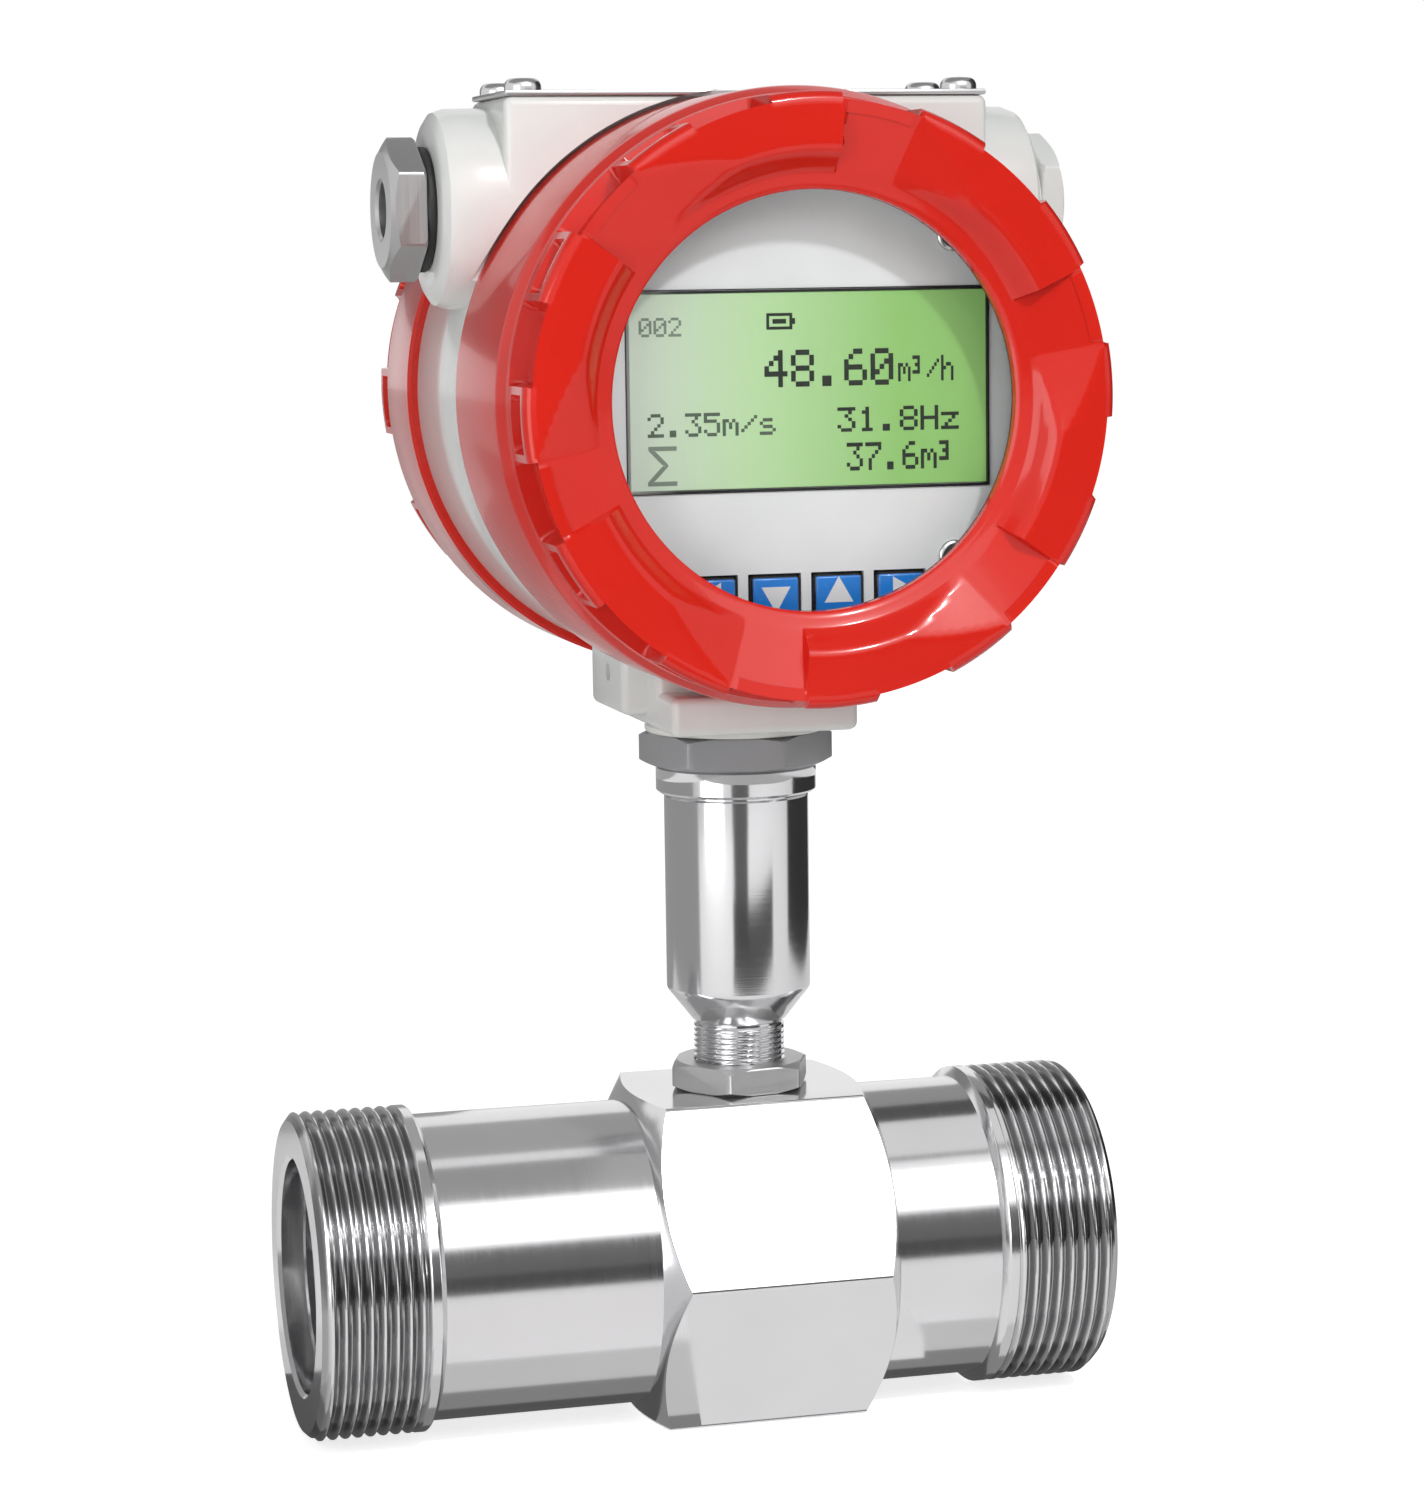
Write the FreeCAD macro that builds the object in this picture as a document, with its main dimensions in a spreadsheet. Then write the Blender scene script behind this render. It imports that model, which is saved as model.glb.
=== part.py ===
import FreeCAD, Part
import Sketcher
import math
import os
import re

# A turbine flow meter with a digital head, in millimetres.
# X runs along the pipe with the flow, the display faces -Y and Z is up.
# The origin is on the flat under the hexagon, below the middle of the neck.

SIZES = {
    # flow tube
    "thread_radius": 29.807, "thread_pitch": 2.309, "thread_depth": 1.479,
    "thread_ridges": 8, "thread_chamfer": 1.2, "land_length": 1.6,
    "runout_length": 1.2, "inlet_length": 84.2, "outlet_length": 64.2,
    "barrel_radius": 27.95, "hex_rise": 2.05,
    "hex_flats": "=2 * (barrel_radius + hex_rise)", "hex_edge_half": 18.4,
    "hex_chamfer": 3.9, "bore_radius": 20.0, "seat_radius": 21.3,
    "inlet_seat_depth": 34.0, "outlet_seat_depth": 22.0, "snap_groove_depth": 1.1,
    "snap_ring_width": 1.3, "snap_ring_wall": 2.6, "snap_ring_inset": 5.0,
    "snap_ring_gap": 9.0, "fit": 0.05,
    # rotor and flow straighteners
    "hub_radius": 7.0, "hub_nose": 12.0, "vane_thickness": 1.4,
    "vane_count": 4, "rotor_half": 7.0, "rotor_gap": 1.0,
    "blade_count": 8, "blade_thickness": 1.5, "blade_pitch": 35.0,
    "blade_tip_gap": 0.6, "shaft_radius": 1.5, "shaft_half": 14.0,
    "bush_wall": 1.5, "bush_length": 8.0, "bush_play": 0.03, "bush_recess": 0.5,
    # pickup and neck
    "port_floor": 2.5, "stem_radius": 8.5, "stem_bore": 6.0,
    "stem_tip": 1.2, "lock_nut_height": 5.1, "lock_nut_flats": 23.6,
    "lock_nut_turn": 22.0, "lock_nut_chamfer": 0.8, "stem_free": 7.2,
    "cone_height": 6.3,
    "neck_radius": 13.35, "neck_height": 36.2, "neck_socket": 13.0,
    "spigot_radius": 9.4, "neck_groove": 0.5, "neck_groove_radius": 12.9,
    "collar_radius": 14.8, "collar_height": 5.1, "head_nut_height": 6.3,
    "head_nut_flats": 31.0, "head_nut_turn": 14.5, "washer_radius": 16.7,
    "washer_thickness": 1.3, "adapter_radius": 11.0, "adapter_engaged": 7.0,
    "lead_hole": 3.0, "lead_radius": 1.5, "lead_socket_radius": 4.0,
    "lead_socket_sunk": 4.0, "lead_socket_height": 10.0,
    "pole_radius": 1.5, "pole_height": 20.0, "magnet_radius": 3.0,
    "magnet_height": 8.0, "spool_radius": 5.8, "spool_tube": 2.2,
    "spool_height": 16.0, "spool_flange": 1.2, "coil_radius": 5.2,
    # head housing
    "head_drop": 60.5, "drum_radius": 51.6, "drum_front": 10.5,
    "drum_rear": 34.0, "spigot_length": 12.0, "drum_spigot_radius": 48.4,
    "drum_bore": 45.0, "divider_front": 20.0, "divider_thickness": 3.0,
    "divider_hole": 5.0, "divider_hole_drop": 30.0,
    "block_half": 44.4, "block_front": 15.5, "block_depth": 29.0,
    "block_top": 52.8, "block_floor": 22.0, "boss_radius": 17.8,
    "boss_height": 33.5, "boss_y": 2.0, "boss_proud": 3.7,
    "boss_inner": 36.0, "boss_bore": 10.0, "boss_bore_end": 24.0,
    "foot_half": 17.3, "foot_depth_half": 21.4, "foot_lip": 7.0,
    "lug_half": 22.0, "lug_front": -3.0, "lug_depth": 24.6,
    "lug_lift": 2.2, "lug_height": 14.0, "lug_hole_radius": 1.6,
    "lug_hole_y": 8.0, "lug_hole_lift": 7.0,
    "plate_thickness": 1.0, "plate_margin": 0.2, "plate_screw_inset": 4.2,
    "plate_screw_head": 3.3, "plate_screw_head_height": 2.2,
    "plate_screw_shank": 1.5, "plate_screw_length": 6.0,
    # cable entry and blind plug
    "gasket_thickness": 1.8, "gasket_radius": 11.1, "entry_flats": 22.3,
    "gland_hex": 6.4, "plug_hex": 4.6, "entry_thread": 9.9,
    "entry_thread_length": 12.0, "entry_hole": 5.0, "gland_lip": 3.4,
    "gland_cavity": 8.0, "seal_bore": 4.5, "seal_length": 12.0, "entry_chamfer": 1.2,
    # covers
    "cover_radius": 53.3, "cover_front": 56.0, "lug_radius": 51.8,
    "lug_zone": 12.0, "cover_relief": 0.8, "pad_height": 4.0, "pad_inner": 38.5, "pad_outer": 50.4,
    "pad_angle": 45.0, "pad_count": 6, "pad_start": -10.0, "recess_count": 12,
    "recess_start": 72.0, "recess_depth": 3.0, "recess_width": 13.0,
    "recess_length": 13.0, "face_round": 1.4,
    "cover_thread": 48.55, "cover_chamber": 45.8, "cover_thread_length": 14.0,
    "seal_seat": 50.9, "seal_seat_length": 2.8, "o_ring_radius": 1.15,
    "window_radius": 35.6, "rim_width": 2.4, "rim_step": 1.0,
    "window_lip": 2.0, "glass_radius": 41.0, "glass_thickness": 5.0,
    "glass_gasket": 0.5, "retainer_thickness": 2.0, "retainer_bore": 38.2,
    "rear_cover_radius": 53.3, "rear_cover_end": 67.0, "rear_wall": 4.0,
    # display
    "faceplate_front": 44.5, "faceplate_thickness": 1.5, "faceplate_radius": 44.5,
    "screen_half_width": 32.4, "screen_half_height": 17.2, "screen_lift": 1.7,
    "screen_shift": 1.8, "screen_proud": 0.5, "screen_depth": 5.0, "display_play": 0.15,
    "board_thickness": 1.6, "board_radius": 42.5, "board_gap": 0.1,
    "key_pitch": 11.3, "key_shift": 0.8, "key_width": 9.0, "key_height": 7.0,
    "key_drop": 30.0, "key_proud": 0.8, "key_travel": 0.4, "key_play": 0.25,
    "switch_side": 6.0, "switch_height": 1.2, "key_gap": 0.5,
    "post_circle": 39.0, "post_radius": 2.6, "post_hole": 1.3,
    "display_screw_head": 2.7, "display_screw_head_height": 0.8,
    "display_screw_length": 14.0,
    "battery_radius": 7.1, "battery_length": 50.0, "battery_drop": 11.0,
    "battery_y": 29.5, "holder_wall": 2.0, "holder_depth": 11.0,
    "terminal_gap": 6.0, "terminal_board_radius": 38.0,
    "terminal_width": 46.0, "terminal_height": 14.0, "terminal_depth": 12.0,
    "terminal_screw_radius": 2.0, "terminal_screw_length": 4.0, "terminal_screw_lift": 2.0,
    "terminal_socket_depth": 5.0, "terminal_ways": 6, "terminal_post_circle": 32.0,
}

DOC = FreeCAD.newDocument("flow_meter")
SHEET = DOC.addObject("Spreadsheet::Sheet", "sizes")
for row, (alias, value) in enumerate(SIZES.items(), start=1):
    SHEET.set("A%d" % row, alias)
    SHEET.set("B%d" % row, str(value))
    SHEET.setAlias("B%d" % row, alias)
DOC.recompute()

WORD = re.compile(r"[a-z][a-z_0-9]*")
TO_X = FreeCAD.Rotation(FreeCAD.Vector(0, 0, 1), FreeCAD.Vector(1, 0, 0))
TO_Y = FreeCAD.Rotation(FreeCAD.Vector(0, 0, 1), FreeCAD.Vector(0, 1, 0))
UPRIGHT = FreeCAD.Rotation()
SPIN_TO = {
    "x": FreeCAD.Rotation(),
    "y": FreeCAD.Rotation(FreeCAD.Vector(0, 0, 1), 90),
    "z": FreeCAD.Rotation(FreeCAD.Vector(0, 1, 0), -90),
}

# Heights and places that several pieces share
AXIS = "hex_flats / 2"
NUT_TOP = "(hex_flats + lock_nut_height)"
STEM_TOP = "(hex_flats + lock_nut_height + stem_free)"
NECK_FOOT = "(hex_flats + lock_nut_height + stem_free + cone_height)"
NECK_TOP = "(hex_flats + lock_nut_height + stem_free + cone_height + neck_height)"
COLLAR_FOOT = "(%s + neck_groove)" % NECK_TOP
COLLAR_TOP = "(%s + collar_height)" % COLLAR_FOOT
HEAD_NUT_TOP = "(%s + head_nut_height)" % COLLAR_TOP
HOUSING_FOOT = "(%s + washer_thickness)" % HEAD_NUT_TOP
HEAD_AXIS = "(%s + head_drop)" % HOUSING_FOOT
BOSS_REACH = "(drum_radius + boss_proud)"
STEM_TIP = "(hex_flats / 2 + bore_radius + port_floor + fit)"
SCREEN_FRONT = "(faceplate_front + screen_proud)"
BOARD_FRONT = "(faceplate_front + screen_proud - screen_depth - board_gap)"
BOARD_BACK = "(%s - board_thickness)" % BOARD_FRONT
PARTS = {}


def size(name):
    """A driving size as a number."""
    return float(SHEET.get(name))


def bound(text):
    """Write an expression of size names so that it reads the sheet."""
    def cell(found):
        word = found.group()
        return "sizes." + word if word in SIZES else word
    return WORD.sub(cell, str(text))


def place(obj, at=("0", "0", "0"), turn=UPRIGHT):
    """Turn an object and bind its place to the sheet."""
    obj.Placement = FreeCAD.Placement(FreeCAD.Vector(), turn)
    for letter, text in zip("xyz", at):
        obj.setExpression("Placement.Base." + letter, bound(text))
    return obj


def cylinder(name, radius, length, at, turn=UPRIGHT):
    """A cylinder that grows from its place along its turned Z axis."""
    obj = DOC.addObject("Part::Cylinder", name)
    obj.setExpression("Radius", bound(radius))
    obj.setExpression("Height", bound(length))
    return place(obj, at, turn)


def box(name, low, high):
    """A box between two corners, each given as three expressions."""
    obj = DOC.addObject("Part::Box", name)
    for prop, start, end in zip(("Length", "Width", "Height"), low, high):
        obj.setExpression(prop, bound("(%s) - (%s)" % (end, start)))
    return place(obj, low)


def hexagon(name, flats, length, at, turn=UPRIGHT):
    """A hexagonal bar, its width given across the flats."""
    obj = DOC.addObject("Part::Prism", name)
    obj.Polygon = 6
    obj.setExpression("Circumradius", bound("(%s) / sqrt(3)" % flats))
    obj.setExpression("Height", bound(length))
    return place(obj, at, turn)


def cut(name, base, tools):
    """The base with each tool taken away."""
    tool = tools[0]
    if len(tools) > 1:
        tool = fuse(name + "_tools", tools)
    obj = DOC.addObject("Part::Cut", name)
    obj.Base = base
    obj.Tool = tool
    return obj


def fuse(name, shapes):
    """Several shapes joined into one."""
    obj = DOC.addObject("Part::MultiFuse", name)
    obj.Shapes = shapes
    obj.Refine = True
    return obj


def common(name, one, two):
    """What two shapes share."""
    obj = DOC.addObject("Part::MultiCommon", name)
    obj.Shapes = [one, two]
    return obj


def group(name, shapes):
    """Like pieces that stay separate solids under one name."""
    obj = DOC.addObject("Part::Compound", name)
    obj.Links = shapes
    return obj


def keep(label, obj):
    """Name a finished piece, which also names its file."""
    obj.Label = label
    PARTS[label] = obj
    return obj


def profile(body, name, points):
    """A closed outline, each corner held by its distance along and its radius."""
    plane = next(item for item in body.Origin.OriginFeatures if item.Role == "XY_Plane")
    sketch = body.newObject("Sketcher::SketchObject", name)
    sketch.AttachmentSupport = (plane, [""])
    sketch.MapMode = "FlatFace"
    count = len(points)
    ring = [FreeCAD.Vector(20 + 9 * math.cos(math.tau * i / count),
                           20 + 9 * math.sin(math.tau * i / count), 0) for i in range(count)]
    sketch.addGeometry([Part.LineSegment(ring[i], ring[(i + 1) % count])
                        for i in range(count)])
    rules = [Sketcher.Constraint("Coincident", i, 2, (i + 1) % count, 1)
             for i in range(count)]
    for i, corner in enumerate(ring):
        rules.append(Sketcher.Constraint("DistanceX", -1, 1, i, 1, corner.x))
        rules.append(Sketcher.Constraint("DistanceY", -1, 1, i, 1, corner.y))
    sketch.addConstraint(rules)
    for i, (along, radius) in enumerate(points):
        sketch.setExpression("Constraints[%d]" % (count + 2 * i), bound(along))
        sketch.setExpression("Constraints[%d]" % (count + 2 * i + 1), bound(radius))
    return sketch


def turned(name, points, axis="x", at=("0", "0", "0")):
    """A lathe piece: an outline of (distance along, radius) spun about its axis."""
    body = DOC.addObject("PartDesign::Body", name)
    sketch = profile(body, name + "_outline", points)
    spin = body.newObject("PartDesign::Revolution", name + "_spin")
    spin.Profile = sketch
    spin.ReferenceAxis = (sketch, ["H_Axis"])
    spin.Angle = 360
    body.Tip = spin
    return place(body, at, SPIN_TO[axis])


def tube(name, start, end, inner, outer, axis="x", at=("0", "0", "0")):
    """A plain ring between two distances along its axis."""
    points = [(start, inner), (end, inner), (end, outer), (start, outer)]
    return turned(name, points, axis, at)


def pipe_end_points(sign, length):
    """Thread ridges, plain land and run-out from one end face to the barrel."""
    def along(back):
        return "%s(%s - (%s))" % (sign, length, back)
    points = [(along("0"), "thread_radius - thread_chamfer")]
    for i in range(int(size("thread_ridges"))):
        start = "thread_chamfer + %d * thread_pitch" % i
        points.append((along(start + " + 0.15 * thread_pitch"), "thread_radius"))
        if i:
            points.insert(-1, (along(start + " - 0.15 * thread_pitch"), "thread_radius"))
        points.append((along(start + " + 0.5 * thread_pitch"), "thread_radius - thread_depth"))
    thread_end = "thread_chamfer + %d * thread_pitch" % int(size("thread_ridges"))
    points.append((along(thread_end + " - 0.15 * thread_pitch"), "thread_radius"))
    land_end = thread_end + " + land_length"
    points.append((along(land_end), "thread_radius"))
    points.append((along(land_end + " + runout_length"), "barrel_radius"))
    return points


def pipe_bore_points(sign, length, depth):
    """The bore from the middle out to one end, with its seat and snap groove."""
    def along(back):
        return "%s(%s - (%s))" % (sign, length, back)
    groove = "seat_radius + snap_groove_depth"
    return [
        (along(depth), "bore_radius"),
        (along(depth), "seat_radius"),
        (along("snap_ring_inset + snap_ring_width"), "seat_radius"),
        (along("snap_ring_inset + snap_ring_width"), groove),
        (along("snap_ring_inset"), groove),
        (along("snap_ring_inset"), "seat_radius"),
        (along("0"), "seat_radius"),
    ]


def meter_body():
    """The flow tube, turned from hexagon bar, with the pickup port in its top flat."""
    outside = pipe_end_points("-", "inlet_length")
    outside += reversed(pipe_end_points("", "outlet_length"))
    inside = list(reversed(pipe_bore_points("", "outlet_length", "outlet_seat_depth")))
    inside += pipe_bore_points("-", "inlet_length", "inlet_seat_depth")
    pipe = turned("pipe", outside + inside, at=("0", "0", AXIS))
    half = "(hex_edge_half + hex_chamfer)"
    bar = hexagon("hex_bar", "hex_flats", "2 * " + half, ("-" + half, "0", AXIS),
                  TO_X.multiply(FreeCAD.Rotation(FreeCAD.Vector(0, 0, 1), 30)))
    corner = "hex_flats / sqrt(3)"
    blank = turned("hex_blank", [
        ("-" + half, "seat_radius + 1"), (half, "seat_radius + 1"),
        (half, "barrel_radius"), ("hex_edge_half", corner),
        ("-hex_edge_half", corner), ("-" + half, "barrel_radius")], at=("0", "0", AXIS))
    collar = common("hex_collar", bar, blank)
    bored = fuse("pipe_with_hex", [pipe, collar])
    port = cylinder("pickup_port", "stem_radius", "hex_flats", ("0", "0", STEM_TIP + " - fit"))
    keep("meter_body", cut("meter_body_cut", bored, [port]))


def straightener(label, sign, length, depth):
    """A hub on four vanes that seats on the step in the bore."""
    outer = "%s(%s - (snap_ring_inset + snap_ring_width))" % (sign, length)
    inner = "%s(%s - %s)" % (sign, length, depth)
    near = "%s(rotor_half + rotor_gap)" % sign
    nose = "%s(%s - (snap_ring_inset + snap_ring_width) - hub_nose)" % (sign, length)
    bush_end = "%s(rotor_half + rotor_gap + bush_recess + bush_length)" % sign
    bush_radius = "shaft_radius + bush_play + bush_wall"
    hub = turned(label + "_hub", [
        (near, bush_radius), (bush_end, bush_radius), (bush_end, "0"), (outer, "0"),
        (outer, "hub_radius * 0.25"),
        ("(%s + %s) / 2" % (nose, outer), "hub_radius * 0.75"),
        (nose, "hub_radius"), (near, "hub_radius")], at=("0", "0", AXIS))
    low, high = (outer, inner) if sign == "-" else (inner, outer)
    pieces = [hub]
    ring = turned(label + "_reach", [
        (low, "hub_radius * 0.2"), (high, "hub_radius * 0.2"),
        (high, "seat_radius - fit"), (low, "seat_radius - fit")], at=("0", "0", AXIS))
    vanes = []
    for i in range(int(size("vane_count")) // 2):
        plate = DOC.addObject("Part::Box", "%s_vane_%d" % (label, i))
        plate.setExpression("Length", bound("(%s) - (%s)" % (high, low)))
        plate.setExpression("Width", bound("vane_thickness"))
        plate.setExpression("Height", bound("2 * seat_radius"))
        upright = i % 2 == 0
        turn = UPRIGHT if upright else FreeCAD.Rotation(FreeCAD.Vector(1, 0, 0), 90)
        side = "-vane_thickness / 2" if upright else "seat_radius"
        base = AXIS + " - seat_radius" if upright else AXIS + " - vane_thickness / 2"
        vanes.append(place(plate, (low, side, base), turn))
    cross = fuse(label + "_cross", vanes)
    pieces.append(common(label + "_vanes", cross, ring))
    whole = fuse(label + "_whole", pieces)
    bush_hole = tube(label + "_bush_hole", *sorted_along(near, bush_end, sign), "0", bush_radius,
                     at=("0", "0", AXIS))
    keep(label, cut(label + "_cut", whole, [bush_hole]))


def sorted_along(near, far, sign):
    """The same two distances with the lower one first."""
    return (far, near) if sign == "-" else (near, far)


def bush(label, sign):
    """A plain bearing bush pressed into the end of a hub."""
    near = "%s(rotor_half + rotor_gap + bush_recess)" % sign
    far = "%s(rotor_half + rotor_gap + bush_recess + bush_length)" % sign
    keep(label, tube(label + "_ring", *sorted_along(near, far, sign),
                     "shaft_radius + bush_play", "shaft_radius + bush_play + bush_wall",
                     at=("0", "0", AXIS)))


def snap_ring(label, sign, length):
    """An open spring ring that holds a straightener against its step."""
    near = "%s(%s - snap_ring_inset - fit)" % (sign, length)
    far = "%s(%s - snap_ring_inset - snap_ring_width + fit)" % (sign, length)
    low, high = sorted_along(far, near, "" if sign == "" else "-")
    ring = tube(label + "_ring", low, high, "seat_radius + snap_groove_depth - snap_ring_wall",
                "seat_radius + snap_groove_depth - fit", at=("0", "0", AXIS))
    gap = box(label + "_gap", (low + " - 1", "-snap_ring_gap / 2", AXIS + " - seat_radius - 3"),
              (high + " + 1", "snap_ring_gap / 2", AXIS + " - seat_radius / 2"))
    keep(label, cut(label + "_open", ring, [gap]))


def rotor():
    """The bladed wheel and the pin it runs on."""
    hub = tube("rotor_hub", "-rotor_half", "rotor_half", "shaft_radius", "hub_radius",
               at=("0", "0", AXIS))
    reach = tube("rotor_reach", "-rotor_half", "rotor_half", "hub_radius * 0.8",
                 "bore_radius - blade_tip_gap", at=("0", "0", AXIS))
    blades = []
    pivot = FreeCAD.Vector(0, 0, size("hex_flats") / 2)
    along = FreeCAD.Vector(1, 0, 0)
    count = int(size("blade_count"))
    for i in range(count):
        plate = DOC.addObject("Part::Box", "blade_%d" % i)
        plate.setExpression("Length", bound("4 * rotor_half"))
        plate.setExpression("Width", bound("blade_thickness"))
        plate.setExpression("Height", bound("bore_radius"))
        swirl = FreeCAD.Rotation(FreeCAD.Vector(0, 0, 1), size("blade_pitch"))
        step = FreeCAD.Rotation(along, 360.0 * i / count)
        turn = step.multiply(swirl)
        corner = FreeCAD.Vector(-2 * size("rotor_half"), -size("blade_thickness") / 2, 0)
        plate.Placement = FreeCAD.Placement(pivot + turn.multVec(corner), turn)
        blades.append(plate)
    wheel = common("rotor_blades", fuse("rotor_plates", blades), reach)
    keep("rotor", fuse("rotor_wheel", [hub, wheel]))
    keep("rotor_shaft", cylinder("rotor_pin", "shaft_radius", "2 * shaft_half",
                                 ("-shaft_half", "0", AXIS), TO_X))


def pickup():
    """The sensor tube screwed into the port, and what it holds."""
    keep("pickup_sleeve", turned("sleeve", [
        (STEM_TIP, "0"), (STEM_TIP, "stem_radius - fit"), (STEM_TOP, "stem_radius - fit"),
        (NECK_FOOT, "neck_radius"), (NECK_TOP, "neck_radius"), (NECK_TOP, "spigot_radius + fit"),
        (NECK_TOP + " - neck_socket", "spigot_radius + fit"),
        (NECK_TOP + " - neck_socket", "stem_bore"),
        (STEM_TIP + " + stem_tip", "stem_bore"), (STEM_TIP + " + stem_tip", "0")], "z"))
    floor = STEM_TIP + " + stem_tip"
    keep("pickup_pole_pin", cylinder("pole", "pole_radius", "pole_height", ("0", "0", floor)))
    keep("pickup_magnet", cylinder("magnet", "magnet_radius", "magnet_height",
                                   ("0", "0", floor + " + pole_height")))
    top = floor + " + spool_height"
    keep("pickup_spool", turned("spool", [
        (floor, "pole_radius + fit"), (floor, "spool_radius"),
        (floor + " + spool_flange", "spool_radius"), (floor + " + spool_flange", "spool_tube"),
        (top + " - spool_flange", "spool_tube"), (top + " - spool_flange", "spool_radius"),
        (top, "spool_radius"), (top, "pole_radius + fit")], "z"))
    keep("pickup_coil", tube("coil", floor + " + spool_flange", top + " - spool_flange",
                             "spool_tube", "coil_radius", "z"))
    lead_foot = floor + " + pole_height + magnet_height"
    lead_top = COLLAR_TOP + " + head_nut_height + washer_thickness + adapter_engaged"
    keep("pickup_lead", cylinder("lead", "lead_radius", "(%s - lead_socket_sunk) - (%s)" %
                                 (lead_top, lead_foot), ("0", "0", lead_foot)))
    keep("pickup_socket", cylinder("socket", "lead_socket_radius", "lead_socket_height",
                                   ("0", "0", lead_top + " - lead_socket_sunk")))
    nut = hexagon("lock_nut_hex", "lock_nut_flats", "lock_nut_height", ("0", "0", "hex_flats"),
                  FreeCAD.Rotation(FreeCAD.Vector(0, 0, 1), -90 - size("lock_nut_turn")))
    trim = turned("lock_nut_trim", [
        ("hex_flats", "stem_radius"), ("hex_flats", "lock_nut_flats / 2"),
        ("hex_flats + lock_nut_chamfer", "lock_nut_flats / sqrt(3)"),
        (NUT_TOP + " - lock_nut_chamfer", "lock_nut_flats / sqrt(3)"),
        (NUT_TOP, "lock_nut_flats / 2"), (NUT_TOP, "stem_radius")], "z")
    keep("lock_nut", common("lock_nut_cut", nut, trim))


def neck():
    """The adapter above the sensor tube, and what clamps the head to it."""
    top = HOUSING_FOOT + " + adapter_engaged"
    keep("neck_adapter", turned("adapter", [
        (NECK_TOP + " - neck_socket + 1", "lead_hole"),
        (NECK_TOP + " - neck_socket + 1", "spigot_radius"), (NECK_TOP, "spigot_radius"),
        (NECK_TOP, "neck_groove_radius"), (COLLAR_FOOT, "neck_groove_radius"),
        (COLLAR_FOOT, "collar_radius"), (COLLAR_TOP, "collar_radius"),
        (COLLAR_TOP, "adapter_radius"), (top, "adapter_radius"), (top, "lead_socket_radius"),
        (top + " - lead_socket_sunk", "lead_socket_radius"),
        (top + " - lead_socket_sunk", "lead_hole")], "z"))
    nut = hexagon("head_nut_hex", "head_nut_flats", "head_nut_height", ("0", "0", COLLAR_TOP),
                  FreeCAD.Rotation(FreeCAD.Vector(0, 0, 1), -60 - size("head_nut_turn")))
    hole = cylinder("head_nut_hole", "adapter_radius", "head_nut_height", ("0", "0", COLLAR_TOP))
    keep("head_nut", cut("head_nut_cut", nut, [hole]))
    keep("neck_washer", tube("washer", HEAD_NUT_TOP, HOUSING_FOOT, "adapter_radius",
                             "washer_radius", "z"))


def head_housing():
    """The cast drum with its cable bosses, top pad, neck block and earth lug."""
    centre = ("0", "0", HEAD_AXIS)
    drum = turned("drum", [
        ("-drum_front - spigot_length", "drum_bore"),
        ("-drum_front - spigot_length", "drum_spigot_radius"),
        ("-drum_front", "drum_spigot_radius"), ("-drum_front", "drum_radius"),
        ("drum_rear", "drum_radius"), ("drum_rear", "drum_spigot_radius"),
        ("drum_rear + spigot_length", "drum_spigot_radius"),
        ("drum_rear + spigot_length", "drum_bore")], "y", centre)
    block = box("top_block", ("-block_half", "-block_front", HEAD_AXIS + " + block_floor"),
                ("block_half", "block_depth - block_front", HEAD_AXIS + " + block_top"))
    height = HEAD_AXIS + " + boss_height"
    reach = BOSS_REACH + " - boss_inner"
    left = cylinder("left_boss", "boss_radius", reach, ("-" + BOSS_REACH, "boss_y", height), TO_X)
    right = cylinder("right_boss", "boss_radius", reach, ("boss_inner", "boss_y", height), TO_X)
    foot = box("foot", ("-foot_half", "-foot_depth_half", HOUSING_FOOT),
               ("foot_half", "foot_depth_half", HOUSING_FOOT + " + foot_lip"))
    stalk = box("stalk", ("-foot_half", "-drum_front", HOUSING_FOOT),
                ("foot_half", "foot_depth_half", HEAD_AXIS + " - drum_bore - 1"))
    lug_foot = HOUSING_FOOT + " + lug_lift"
    lug = box("lug", ("-lug_half", "lug_front", lug_foot),
              ("-foot_half + 1", "lug_front + lug_depth", lug_foot + " + lug_height"))
    shell = fuse("housing_shell", [drum, block, left, right, foot, stalk, lug])
    chamber = cylinder("chamber", "drum_bore", "drum_front + drum_rear + 2 * spigot_length",
                       ("0", "-drum_front - spigot_length", HEAD_AXIS), TO_Y)
    neck_hole = cylinder("neck_hole", "adapter_radius + fit", "head_drop - drum_bore + 4",
                         ("0", "0", HOUSING_FOOT))
    lug_hole = cylinder("lug_hole", "lug_hole_radius", "lug_half - foot_half + 3",
                        ("-lug_half", "lug_hole_y", lug_foot + " + lug_hole_lift"), TO_X)
    left_bore = cylinder("left_bore", "boss_bore", BOSS_REACH + " - boss_bore_end",
                         ("-" + BOSS_REACH, "boss_y", height), TO_X)
    right_bore = cylinder("right_bore", "boss_bore", BOSS_REACH + " - boss_bore_end",
                          ("boss_bore_end", "boss_y", height), TO_X)
    holes = [chamber, neck_hole, lug_hole, left_bore, right_bore, cover_relief("relief")]
    hollow = cut("housing_hollow", shell, holes + plate_screw_rods("plate_screw_hole"))
    divider = cylinder("divider", "drum_bore", "divider_thickness",
                       ("0", "divider_front", HEAD_AXIS), TO_Y)
    divider_hole = cylinder("divider_hole", "divider_hole", "divider_thickness",
                            ("0", "divider_front", HEAD_AXIS + " - divider_hole_drop"), TO_Y)
    wall = cut("divider_wall", divider, [divider_hole])
    keep("head_housing", fuse("housing", [hollow, wall]))


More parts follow.
